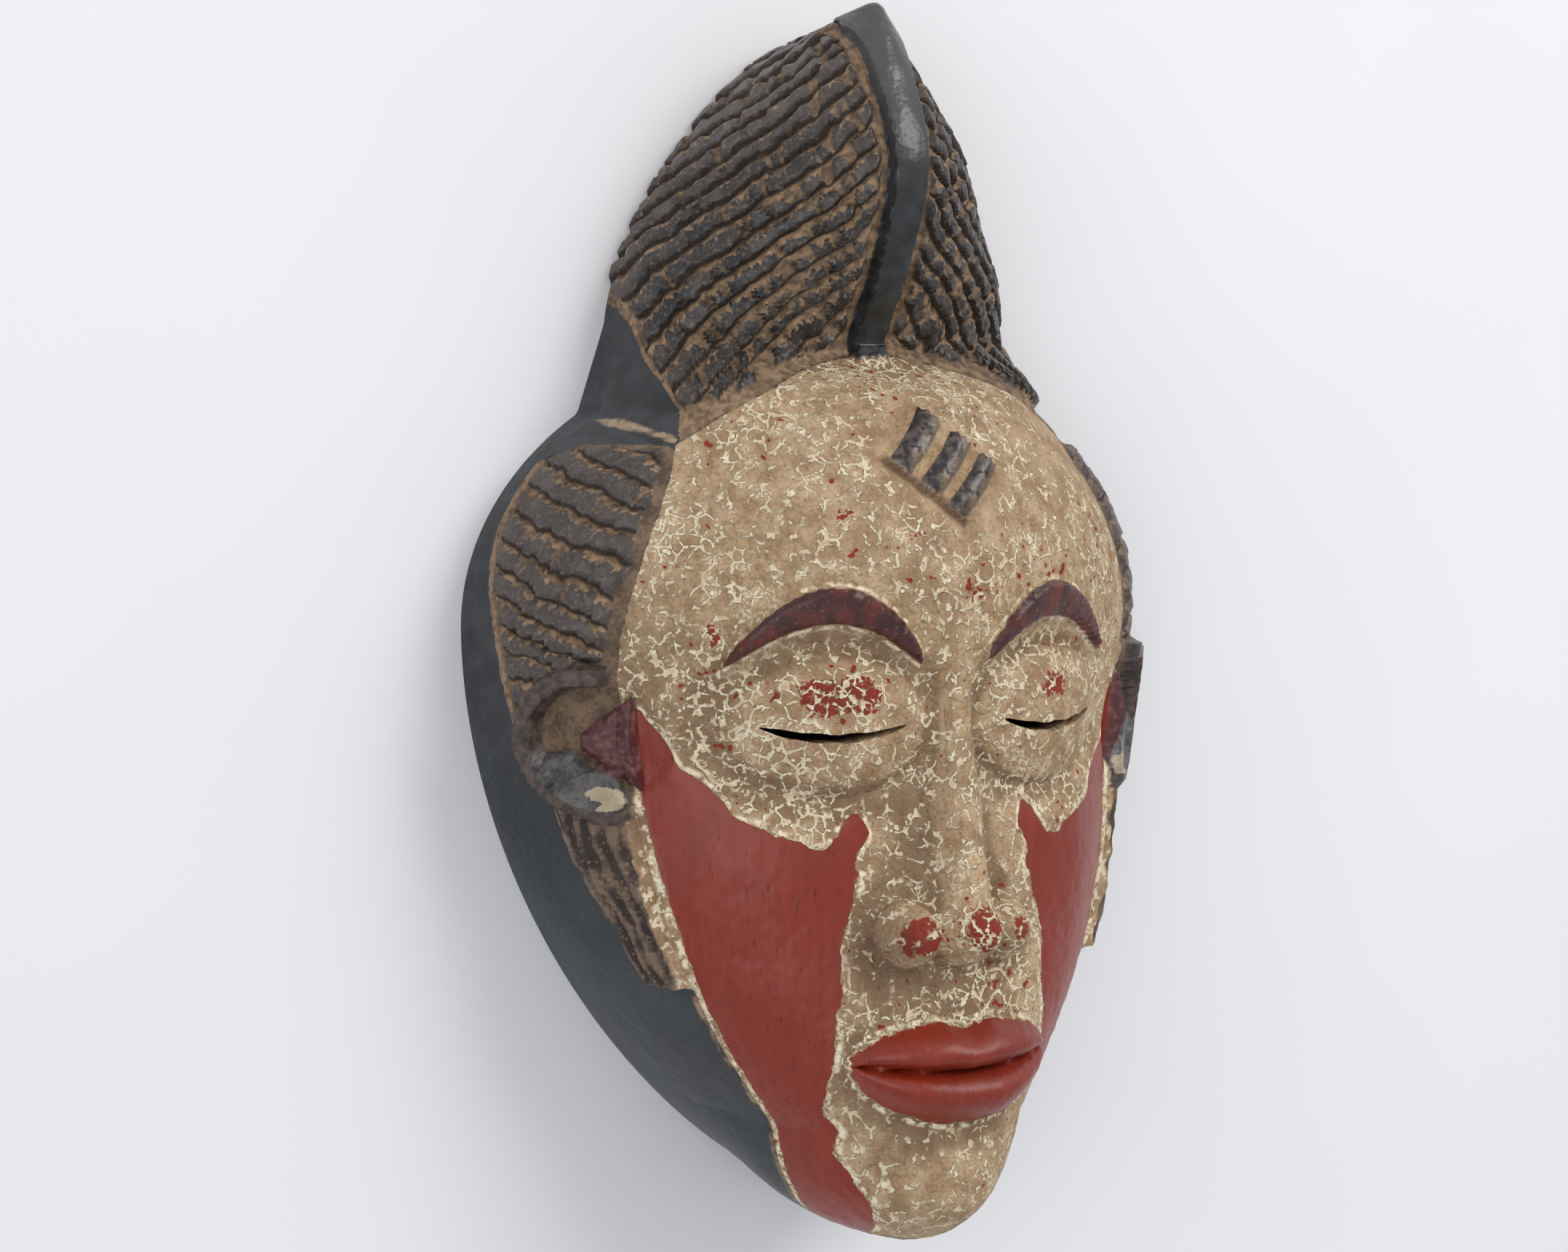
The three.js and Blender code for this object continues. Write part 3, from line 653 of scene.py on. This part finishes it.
def hollow_sheet(heights):
    """The hollow, from the mask's left rim back to its right"""
    phi, h = np.meshgrid(np.linspace(np.pi / 2, -np.pi / 2, HOLLOW_COLUMNS + 1), heights)
    high = np.maximum(0, h - (HOLLOW["top"] - HOLLOW["top_round"])) / HOLLOW["top_round"]
    low = np.maximum(0, HOLLOW["foot"] + HOLLOW["foot_round"] - h) / HOLLOW["foot_round"]
    roof = np.sqrt(np.maximum(0, 1.02 - high * high))
    floor = np.sqrt(np.maximum(0, 1.04 - low * low))
    inside = (h > HOLLOW["foot"]) & (h < HOLLOW["top"])
    rim = rim_half_width(h)
    half = np.where(inside, np.maximum(5, rim - SIDE_WALL) * roof, rim - np.minimum(SIDE_WALL, 0.5 * rim))
    deep = (np.minimum(centre_depth(h), FACE_DEPTH) - FRONT_WALL) * roof * floor * inside
    power = 2 / fullness(h)
    x = np.sign(phi) * half * np.abs(np.sin(phi)) ** power
    z = deep * np.maximum(0, np.cos(phi)) ** power
    gouge = 0.7 * rough(x / 9, h / 16, z / 9, 12) + 0.3 * rough(x / 4, h / 7, z / 4, 13)
    z = np.where(z > 4, z + gouge * ease(4, 14, z), z)
    return np.stack([x, h + lean(h, 0 * h), z], axis=2)


# Marks that are shares or places, 0 where a surface has none. The others are distances inside an edge.
SHARES = (
    "row", "run", "cut", "strand", "ear_low", "ear_chip", "facet", "worn", "stain", "sunk", "wear_and_sheen", "lower",
)


def carve_mask():
    """One sheet wrapped round the mask: front, rim, hollow and rim again, then its ends are filled"""
    ring = FRONT_COLUMNS + RIM_COLUMNS + HOLLOW_COLUMNS + RIM_COLUMNS
    deselect_all()
    bpy.ops.mesh.primitive_grid_add(x_subdivisions=ring, y_subdivisions=ROWS, size=2)
    mask = bpy.context.object
    mask.name = "mask_carving"
    heights = row_heights()
    front, marks = front_sheet(heights)
    hollow = hollow_sheet(heights)
    t = np.linspace(0, 1, RIM_COLUMNS + 1)[None, 1:-1, None]
    left_rim = mix(front[:, -1:], hollow[:, :1], t)
    right_rim = mix(hollow[:, -1:], front[:, :1], t)
    points = np.concatenate([front, left_rim, hollow, right_rim, front[:, :1]], axis=1)
    points[:, :, 1] -= MASK_HEIGHT / 2

    mesh = mask.data
    flat = np.empty(len(mesh.vertices) * 3, np.float32)
    mesh.vertices.foreach_get("co", flat)
    place = flat.reshape(-1, 3)
    columns = np.rint((place[:, 0] + 1) / 2 * ring).astype(int)
    rows = np.rint((place[:, 1] + 1) / 2 * ROWS).astype(int)
    mesh.vertices.foreach_set("co", (points[rows, columns] * MM).astype(np.float32).ravel())
    for name, values in marks.items():
        plain = 1.0 if name == "inside" else (0.0 if name in SHARES else -9.0)
        extra = np.full((ROWS + 1, ring + 1 - values.shape[1]), plain)
        whole = np.concatenate([values, extra], axis=1)
        whole[:, -1] = values[:, 0]
        layer = mesh.attributes.new(name, "FLOAT", "POINT")
        layer.data.foreach_set("value", whole[rows, columns].astype(np.float32))
    mesh.update()

    bpy.ops.object.mode_set(mode="EDIT")
    bpy.ops.mesh.select_all(action="SELECT")
    bpy.ops.mesh.remove_doubles(threshold=1e-6)
    bpy.ops.mesh.select_all(action="SELECT")
    bpy.ops.mesh.fill_holes(sides=0)
    bpy.ops.mesh.select_all(action="SELECT")
    bpy.ops.mesh.quads_convert_to_tris(quad_method="FIXED", ngon_method="BEAUTY")
    bpy.ops.mesh.normals_make_consistent(inside=False)
    bpy.ops.object.mode_set(mode="OBJECT")
    return mask


def cut_eye_slit(mask, side):
    """One through slit, bowed downwards, with a ragged edge"""
    deselect_all()
    bpy.ops.mesh.primitive_cylinder_add(vertices=48, radius=1, depth=2)
    cutter = bpy.context.object
    for vertex in cutter.data.vertices:
        across, up, through = vertex.co
        ragged = 1 + 0.22 * math.sin(37 * across + side) * math.cos(23 * across)
        height = 0.5 * EYE_SLIT_HEIGHT * up * ragged
        drop = SLIT["sag"] * (1 - across * across)
        x = side * EYE["x"] + SLIT["half"] * across
        y = EYE["h"] - drop + height - MASK_HEIGHT / 2
        vertex.co = Vector((x, y, SLIT["depth"] + SLIT["reach"] * through)) * MM
    trim = mask.modifiers.new("slit", "BOOLEAN")
    trim.operation = "DIFFERENCE"
    trim.solver = "EXACT"
    trim.object = cutter
    bpy.context.view_layer.objects.active = mask
    bpy.ops.object.modifier_apply(modifier=trim.name)
    bpy.data.objects.remove(cutter)


def remember_marks(mask):
    mesh = mask.data
    tree = KDTree(len(mesh.vertices))
    for i, vertex in enumerate(mesh.vertices):
        tree.insert(vertex.co, i)
    tree.balance()
    names = [a.name for a in mesh.attributes if a.data_type == "FLOAT" and a.domain == "POINT"]
    values = {n: np.empty(len(mesh.vertices), np.float32) for n in names}
    for name, found in values.items():
        mesh.attributes[name].data.foreach_get("value", found)
    return tree, values


def restore_marks(mask, memory):
    """Gives every vertex, also those that the slits made, the marks of the nearest place"""
    tree, values = memory
    mesh = mask.data
    nearest = [tree.find(v.co)[1] for v in mesh.vertices]
    for name, found in values.items():
        layer = mesh.attributes.get(name) or mesh.attributes.new(name, "FLOAT", "POINT")
        layer.data.foreach_set("value", found[nearest])


# Shader maths
def srgb(red, green, blue):
    """A colour as the eye reads it, 0 to 255, as the light that the shader wants"""
    def light(value):
        value /= 255
        return value / 12.92 if value <= 0.04045 else ((value + 0.055) / 1.055) ** 2.4
    return (light(red), light(green), light(blue), 1.0)


# Finishes that vary from a darker to a lighter colour
TONES = {
    "slate": (srgb(25, 31, 34), srgb(42, 50, 53)),
    "night": (srgb(27, 29, 32), srgb(48, 50, 53)),
    "tan wood": (srgb(98, 77, 58), srgb(152, 125, 97)),
    "charcoal": (srgb(35, 32, 31), srgb(70, 63, 58)),
    # Charcoal high on the crest and near the rims: partly wear, partly painted sheen
    "charcoal wear and sheen": (srgb(72, 62, 57), srgb(100, 89, 82)),
    "side charcoal": (srgb(60, 52, 49), srgb(92, 82, 77)),
    "kaolin": (srgb(146, 116, 84), srgb(188, 160, 126)),
    "cream": (srgb(194, 172, 136), srgb(232, 219, 190)),
    "oxide red": (srgb(127, 36, 16), srgb(139, 45, 22)),
    "side hair": (srgb(82, 66, 53), srgb(124, 102, 80)),
    "bead": (srgb(104, 84, 68), srgb(146, 120, 95)),
    "ear rim": (srgb(56, 44, 41), srgb(88, 72, 63)),
    "ear facet": (srgb(52, 50, 50), srgb(92, 88, 86)),
    "ear chip": (srgb(146, 126, 102), srgb(186, 170, 144)),
    "tragus": (srgb(76, 40, 42), srgb(122, 74, 72)),
    "lock": (srgb(52, 42, 38), srgb(116, 96, 80)),
    "brow": (srgb(60, 30, 29), srgb(106, 42, 35)),
    "ornament": (srgb(46, 39, 41), srgb(92, 80, 73)),
    # The crease's tan line, partly a painted highlight
    "crease": (srgb(128, 106, 82), srgb(186, 160, 128)),
    "raw wood": (srgb(70, 50, 36), srgb(104, 78, 56)),
    "pale floor": (srgb(232, 232, 236), srgb(240, 240, 242)),
}

# Colours that lie over a finish in places
COLOURS = {
    "slate grain": srgb(56, 64, 68),
    "dust": srgb(104, 94, 82),
    "old dirt": srgb(70, 54, 42),
    "worn charcoal": srgb(122, 102, 84),
    # Painted shadow in the braids' grooves
    "undercut_shadow": srgb(40, 30, 24),
    "kaolin grain": srgb(124, 96, 70),
    "kaolin dirt": srgb(112, 86, 62),
    "kaolin shade": srgb(104, 78, 55),
    "oxide shade": srgb(116, 41, 26),
    "pore": srgb(58, 24, 20),
    # The darker patch beside the nose
    "stain": srgb(70, 34, 28),
    "brow dust": srgb(130, 100, 80),
    "worn facet": srgb(116, 98, 77),
    "worn edge": srgb(150, 122, 92),
    "dark ledge": srgb(34, 28, 26),
    # The dark line below the crease
    "dark_crease_line": srgb(22, 22, 22),
    # Painted shadow under the ornament, over the block's brown side
    "ornament side and shadow": srgb(78, 50, 34),
    # Painted highlight on the upper ridge
    "ridge highlight": srgb(100, 99, 99),
}


class Wire:
    """A socket's output, with arithmetic that adds Math nodes"""

    def __init__(self, paint, socket):
        self.paint = paint
        self.socket = socket

    def math(self, operation, *others):
        return self.paint.node("ShaderNodeMath", {"operation": operation}, [self, *others])

    def __add__(self, other):
        return self.math("ADD", other)

    __radd__ = __add__

    def __mul__(self, other):
        return self.math("MULTIPLY", other)

    __rmul__ = __mul__

    def __sub__(self, other):
        return self.math("SUBTRACT", other)

    def __rsub__(self, other):
        return self.paint.node("ShaderNodeMath", {"operation": "SUBTRACT"}, [other, self])

    def above(self, low, high):
        """0 below low, 1 above high, smooth between"""
        settings = {"interpolation_type": "SMOOTHSTEP", "clamp": True}
        inputs = {"Value": self, "From Min": low, "From Max": high}
        return self.paint.node("ShaderNodeMapRange", settings, inputs)

    def most(self, other):
        return self.math("MAXIMUM", other)

    def least(self, other):
        return self.math("MINIMUM", other)


class Paint:
    """One material and the nodes that make it"""

    def __init__(self, name):
        self.material = bpy.data.materials.new(name)
        self.material.use_nodes = True
        self.tree = self.material.node_tree
        self.tree.nodes.clear()

    def node(self, kind, settings=None, inputs=None, output=0):
        made = self.tree.nodes.new(kind)
        for key, value in (settings or {}).items():
            setattr(made, key, value)
        pairs = inputs.items() if isinstance(inputs, dict) else enumerate(inputs or [])
        for key, value in pairs:
            socket = made.inputs[key]
            if isinstance(value, Wire):
                self.tree.links.new(value.socket, socket)
            else:
                socket.default_value = value
        return Wire(self, made.outputs[output]) if made.outputs else None

    def mark(self, name):
        return self.node("ShaderNodeAttribute", {"attribute_name": name}, output="Fac")

    def place(self, scale=(1, 1, 1)):
        where = self.node("ShaderNodeTexCoord", output="Object")
        if scale == (1, 1, 1):
            return where
        return self.node("ShaderNodeVectorMath", {"operation": "MULTIPLY"}, [where, scale])

    def noise(self, size, detail=3.0, stretch=(1, 1, 1)):
        """Noise from 0 to 1 with features of a size in millimetres"""
        inputs = {"Vector": self.place(stretch), "Scale": 1 / (size * MM), "Detail": detail}
        inputs["Roughness"] = 0.55
        return self.node("ShaderNodeTexNoise", None, inputs, output="Fac")

    def cracks(self, size, drift, drift_size=6.0):
        """Distance to the nearest edge of a net of cells, in cells"""
        inputs = {"Vector": self.place(), "Scale": 1 / (drift_size * MM), "Detail": 1.0}
        pushed = self.node("ShaderNodeTexNoise", None, inputs, output="Color")
        inputs = {"Vector": pushed, "Scale": drift * MM}
        shift = self.node("ShaderNodeVectorMath", {"operation": "SCALE"}, inputs)
        where = self.node("ShaderNodeVectorMath", {"operation": "ADD"}, [self.place(), shift])
        inputs = {"Vector": where, "Scale": 1 / (size * MM)}
        return self.node("ShaderNodeTexVoronoi", {"feature": "DISTANCE_TO_EDGE"}, inputs, output="Distance")

    def blend(self, factor, first, second):
        """Colours mixed by a factor"""
        settings = {"data_type": "RGBA", "blend_type": "MIX"}
        return self.node("ShaderNodeMix", settings, {0: factor, 6: first, 7: second}, output=2)

    def tone(self, factor, name):
        """A finish, from its darker to its lighter colour"""
        return self.blend(factor, *TONES[name])

    def stain(self, factor, base, name):
        """A named colour over a finish"""
        return self.blend(factor, base, COLOURS[name])


def painted_wood():
    """The whole mask's finish: charcoal braids, slate sides, crackled ground and oxide red"""
    p = Paint("painted_wood")
    broad = p.noise(30, 1.0)
    medium = p.noise(7, 2.0)
    fine = p.noise(2.2, 1.5)
    dust = p.noise(1.1, 1.5)
    grain = p.noise(1.6, 2.0, (1, 0.08, 1))
    blot = medium - 0.5
    wave = fine - 0.5
    fleck = dust - 0.5

    def inside(name, soft=0.2, loose=0.25):
        return (p.mark(name) + wave * loose).above(-soft, soft)

    def mottled(amount, low, high):
        return (medium + fleck * amount).above(low, high)

    # Smooth dark sides and bands
    slate = p.tone(broad.above(0.3, 0.75), "slate")
    slate = p.stain(grain.above(0.5, 0.75) * 0.3, slate, "slate grain")
    night = p.tone(medium.above(0.35, 0.7), "night")
    dark = p.blend(p.mark("lower"), night, slate)
    dark = p.stain(dust.above(0.64, 0.8) * 0.4, dark, "dust")
    tan_wood = p.tone(fine.above(0.3, 0.7), "tan wood")
    tan_wood = p.stain(p.noise(9).above(0.5, 0.7) * 0.5, tan_wood, "old dirt")

    # Braids: painted shadow in the steep groove under each bar, a worn bar, and a tan slope above it, partly
    # bared wood and partly painted highlight
    part = p.node("ShaderNodeMath", {"operation": "FRACT"}, [p.mark("row") + wave * 0.1])
    # Painted shadow: a dark line along each groove's bottom and up the steep wall under each bar
    undercut_shadow = 1 - part.above(0.04, 0.12).least((1 - part).above(0.02, 0.12))
    ticks = p.node("ShaderNodeCombineXYZ", None, [p.mark("run") * 0.6, p.mark("row") * 1.3, 0.0])
    ticks = p.node("ShaderNodeTexNoise", None, {"Vector": ticks, "Scale": 1.0, "Detail": 2.0}, output="Fac")
    on_lobe = p.mark("lobe").above(-0.5, 0.5)
    # Partly painted highlight: the tan on the upward slope above each bar is bared wood, painted as the
    # groove's lit face
    lit_bevel = (part + (ticks - 0.5) * 1.1 + fleck * 0.4 - on_lobe * 0.08).above(0.62, 0.74)
    cut = (p.mark("cut") + wave * 0.5).above(0.3, 0.75)
    charcoal = p.tone(mottled(0.5, 0.35, 0.75), "charcoal")
    # Lighter, browner charcoal high on the crest and near the rims: partly wear, partly painted sheen
    charcoal = p.blend(p.mark("wear_and_sheen") * 0.6, charcoal, p.tone(medium, "charcoal wear and sheen"))
    charcoal = p.blend(on_lobe * 0.7, charcoal, p.tone(medium, "side charcoal"))
    charcoal = p.stain(dust.above(0.54, 0.72) * 0.5, charcoal, "worn charcoal")
    # Tan on the cuts is bared wood; on the upward slopes it is also a painted highlight
    braid = p.blend(lit_bevel.most(cut * 0.85), charcoal, tan_wood)
    # The dark line of painted shadow goes over the braids here
    braid = p.stain(undercut_shadow * 0.85, braid, "undercut_shadow")

    # Kaolin ground and its broken net of cream
    wide = p.cracks(4.0, 3.4)
    small = p.cracks(2.3, 2.0, 3.0)
    thin = fleck * 0.3 + wave * 0.3
    veins = 1 - (wide + thin).above(0.055, 0.12)
    hairs = (1 - (small + thin).above(0.02, 0.09)) * medium.above(0.48, 0.58)
    spots = p.noise(3.3, 1.0)
    patchy = (spots + broad * 0.55).above(0.68, 0.8)
    blobs = (spots + broad * 0.1).above(0.75, 0.78)
    calm = p.mark("patch").above(-5, -2).most(p.mark("brow").above(-6, -3) * 0.6)
    thick = (veins * patchy).most(blobs) * (1 - calm)
    cream = thick.most(hairs * patchy * (1 - calm))
    round_brow = p.mark("brow").above(-1.9, -1.0) * (1 - p.mark("brow").above(-0.7, -0.2))
    round_red = p.mark("red").above(-2.2, -1.2) * (1 - p.mark("red").above(-0.6, 0.0))
    cream = cream.most(round_brow.most(round_red) * (fine + medium).above(0.9, 1.1)).least(1.0)
    tan = p.tone(mottled(0.7, 0.25, 0.75), "kaolin")
    tan = p.stain(grain.above(0.55, 0.7) * 0.3, tan, "kaolin grain")
    tan = p.stain(dust.above(0.58, 0.72) * 0.35, tan, "kaolin dirt")
    tan = p.stain(p.mark("sunk").above(0.25, 1.6) * 0.6, tan, "kaolin shade")
    ground = p.blend(cream, tan, p.tone(fine.above(0.25, 0.65), "cream"))

    # Oxide red
    red = p.tone(grain.above(0.3, 0.8), "oxide red")
    red = p.stain(broad.above(0.4, 0.8) * 0.5, red, "oxide shade")
    pore = p.noise(0.7, 1.0, (1, 0.16, 1)).above(0.7, 0.76)
    red = p.stain(pore * 0.8, red, "pore")
    worn = (p.mark("worn") + blot * 0.9 + fleck * 0.6).above(0.42, 0.5)
    speck = (1 - spots + broad * 0.3).above(0.87, 0.9)
    ragged = wave * 2.4 + blot * 2.6
    painted = (p.mark("red") + ragged * 0.7).above(-0.15, 0.15)
    bared = worn.most(speck) * (1 - cream)
    face = p.blend(painted, p.blend(bared, ground, red), red)
    # A darker patch on the red beside one wing of the nose
    face = p.stain(p.mark("stain") * 0.55 * medium.above(0.2, 0.6), face, "stain")

    # The side panel of the hair, with its ear and the hair in front of it
    side_hair = p.tone(mottled(0.6, 0.3, 0.7), "side hair")
    bead = p.tone(fine.above(0.3, 0.6), "bead")
    rim = p.tone(fine.above(0.35, 0.7), "ear rim")
    on_facet = (p.mark("ear_low") + wave * 0.5).above(0.4, 0.6)
    rim = p.blend(on_facet, rim, p.tone(mottled(0.6, 0.3, 0.7), "ear facet"))
    on_chip = (p.mark("ear_chip") + wave * 0.8).above(0.4, 0.55)
    rim = p.blend(on_chip, rim, p.tone(medium, "ear chip"))
    tragus = p.tone(fine.above(0.4, 0.75), "tragus")
    lock = p.tone((p.mark("strand") + blot * 1.2 + fleck * 0.8).above(0.5, 1.15), "lock")
    lock = p.blend((1 - p.mark("burn").above(0.5, 1.5)).most(dust.above(0.6, 0.7) * 0.6), lock, tan_wood)
    front_strip = 1 - (p.mark("ahead") + blot * 4).above(4.2, 5.2)
    lock = p.blend(front_strip, lock, ground)

    # Brows and ornament
    brow = p.tone(medium.above(0.35, 0.75), "brow")
    brow = p.stain(dust.above(0.62, 0.72) * 0.5, brow, "brow dust")
    block = p.tone(fine.above(0.4, 0.7), "ornament")
    block = p.stain((p.mark("facet") + fleck * 0.4).above(0.55, 0.9) * 0.8, block, "worn facet")
    worn_edge = (1 - p.mark("patch").above(0.5, 1.0)) * dust.above(0.45, 0.6)
    block = p.stain(worn_edge * 0.8, block, "worn edge")

    # Everything laid over the dark sides, one after the other
    on_face = inside("face", 0.25, 1.0)
    colour = p.blend(inside("panel", 0.3, 0.8), dark, side_hair)
    colour = p.blend(on_face, colour, face)
    edge = p.mark("edge")
    ledge = edge.above(-2.2, -1.2) * (1 - edge.above(-0.4, 0.3)) * (1 - p.mark("face").above(0, 1))
    ledge_finish = p.blend(medium.above(0.45, 0.55), COLOURS["dark ledge"], tan_wood)
    colour = p.blend(ledge * p.mark("lower"), colour, ledge_finish)
    # The tan line along the crease: tan paint, and partly a painted highlight on the step's upward face
    colour = p.blend(inside("crease", 0.4, 0.9), colour, p.tone(fine, "crease"))
    # A dark line painted just below the crease
    colour = p.stain(inside("dark_crease_line", 0.4, 0.4) * 0.8, colour, "dark_crease_line")
    colour = p.blend(inside("crest", 0.3, 0.8), colour, tan_wood)
    colour = p.blend(inside("bead", 0.3, 0.8), colour, bead)
    on_braids = (p.mark("bars") + wave * 1.4).above(-0.3, 0.5)
    colour = p.blend(on_braids, colour, braid)
    colour = p.blend(inside("burn", 0.2, 0.8), colour, lock)
    colour = p.blend(inside("ear", 0.8, 1.2), colour, rim)
    colour = p.blend(inside("tragus", 0.4, 0.8), colour, tragus)
    # Painted shadow along the ornament's lower edge, also colouring the block's brown side
    colour = p.stain(inside("shadow_under_block", 0.8, 0.8) * 0.75, colour, "ornament side and shadow")
    colour = p.blend(inside("brow", 0.2, 1.0), colour, brow)
    colour = p.blend(inside("lozenge", 0.2, 0.8), colour, block)
    # Painted highlight: the ridge turns lighter grey towards its top
    ridge = p.stain(p.mark("wear_and_sheen") * 0.5, night, "ridge highlight")
    colour = p.blend(inside("band", 0.3, 0.6), colour, ridge)
    hollow = p.mark("inside").above(0.3, 0.7)
    colour = p.blend(hollow, colour, p.tone(grain.above(0.35, 0.7), "raw wood"))

    # Matt earth and worn wood, glossier dark paint, and what is too fine for the mesh
    on_panel = inside("panel", 0.3).most(inside("crest", 0.3))
    tan_places = on_braids * lit_bevel.most(cut).most(undercut_shadow) + on_panel * (1 - on_braids)
    earth = on_face * (1 - painted) * (1 - inside("brow").most(inside("lozenge")))
    smooth_parts = inside("ear", 0.8).most(inside("tragus")).most(inside("band"))
    matt = earth.most(tan_places * (1 - smooth_parts)).most(hollow)
    roughness = 0.34 + 0.12 * broad + matt * 0.42
    roughness = roughness - inside("band") * 0.14 - inside("lozenge") * 0.1 + fleck * 0.1
    height = (thick * 0.8 + wide.above(0, 0.2) * 0.25) * earth + fleck * 0.14 * matt
    height = height + wave * 0.25 * (1 - painted * on_face)
    height = height - pore * painted * on_face * 0.08 - tan_places * (medium - 0.3) * 0.3
    bumped = p.node("ShaderNodeBump", None, {"Strength": 0.9, "Distance": MM, "Height": height})
    shader = p.node("ShaderNodeBsdfPrincipled", None, {
        "Base Color": colour, "Roughness": roughness, "Normal": bumped, "Specular IOR Level": 0.5,
    })
    p.node("ShaderNodeOutputMaterial", None, [shader])
    return p.material


def floor_finish():
    p = Paint("pale_floor")
    colour = p.tone(p.noise(180, 2.0), "pale floor")
    shader = p.node("ShaderNodeBsdfPrincipled", None, {"Base Color": colour, "Roughness": 0.9})
    p.node("ShaderNodeOutputMaterial", None, [shader])
    return p.material


# The stage
IMAGE_WIDTH = 2156
IMAGE_HEIGHT = 1721
FOCAL_PIXELS = 4378
SENSOR_WIDTH = 36.0
DISTANCE = 0.85
VIEW_RAISED = math.radians(4)
AIM = Vector((0, 0, 0.05))
AIM_PIXEL = (1217, 860)
FLOOR_SIZE = 12
SKY_COLOUR = (0.95, 0.97, 1.0, 1)
SKY_STRENGTH = 0.58

# Name, place, size, power and colour of each soft light
LIGHTS = [
    ("key_light", (0.85, 1.05, 1.35), 1.0, 17, (1.0, 0.98, 0.95)),
    ("fill_light", (-1.3, 0.2, 1.2), 1.4, 9, (0.97, 0.98, 1.0)),
]


def set_camera():
    """The camera stands to the mask's right and a little above it, with the crown up in the picture"""
    to_camera = Vector((
        -math.sin(VIEW_SIDE) * math.cos(VIEW_RAISED),
        math.sin(VIEW_RAISED),
        math.cos(VIEW_SIDE) * math.cos(VIEW_RAISED),
    ))
    right = Vector((0, 1, 0)).cross(to_camera).normalized()
    up = to_camera.cross(right)
    aside = (AIM_PIXEL[0] - IMAGE_WIDTH / 2) / FOCAL_PIXELS
    above = (IMAGE_HEIGHT / 2 - AIM_PIXEL[1]) / FOCAL_PIXELS
    turn = Matrix.Rotation(math.atan(aside), 3, up) @ Matrix.Rotation(math.atan(-above), 3, right)
    axes = [turn @ axis for axis in (right, up, to_camera)]
    bpy.ops.object.camera_add(location=AIM + to_camera * DISTANCE)
    camera = bpy.context.object
    camera.rotation_euler = Matrix(axes).transposed().to_euler()
    camera.data.sensor_width = SENSOR_WIDTH
    camera.data.lens = FOCAL_PIXELS * SENSOR_WIDTH / IMAGE_WIDTH
    bpy.context.scene.camera = camera


def soft_light(name, place, size, power, colour):
    bpy.ops.object.light_add(type="AREA", location=place)
    lamp = bpy.context.object
    lamp.name = name
    lamp.rotation_euler = (AIM - Vector(place)).to_track_quat("-Z", "Y").to_euler()
    lamp.data.size = size
    lamp.data.energy = power
    lamp.data.color = colour


def set_stage():
    deselect_all()
    bpy.ops.mesh.primitive_plane_add(size=FLOOR_SIZE)
    floor = bpy.context.object
    floor.name = "floor"
    floor.data.materials.append(floor_finish())
    for light in LIGHTS:
        soft_light(*light)
    world = bpy.data.worlds.new("studio")
    world.use_nodes = True
    sky = world.node_tree.nodes["Background"]
    sky.inputs["Color"].default_value = SKY_COLOUR
    sky.inputs["Strength"].default_value = SKY_STRENGTH
    bpy.context.scene.world = world
    bpy.context.scene.view_settings.view_transform = "Standard"


mask = carve_mask()
memory = remember_marks(mask)
for side in (-1, 1):
    cut_eye_slit(mask, side)
restore_marks(mask, memory)
deselect_all()
mask.select_set(True)
bpy.context.view_layer.objects.active = mask
bpy.ops.object.shade_smooth_by_angle(angle=SMOOTH_ANGLE)
mask.data.materials.clear()
mask.data.materials.append(painted_wood())
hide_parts("carved_mask")
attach(mask, "root")

set_camera()
set_stage()
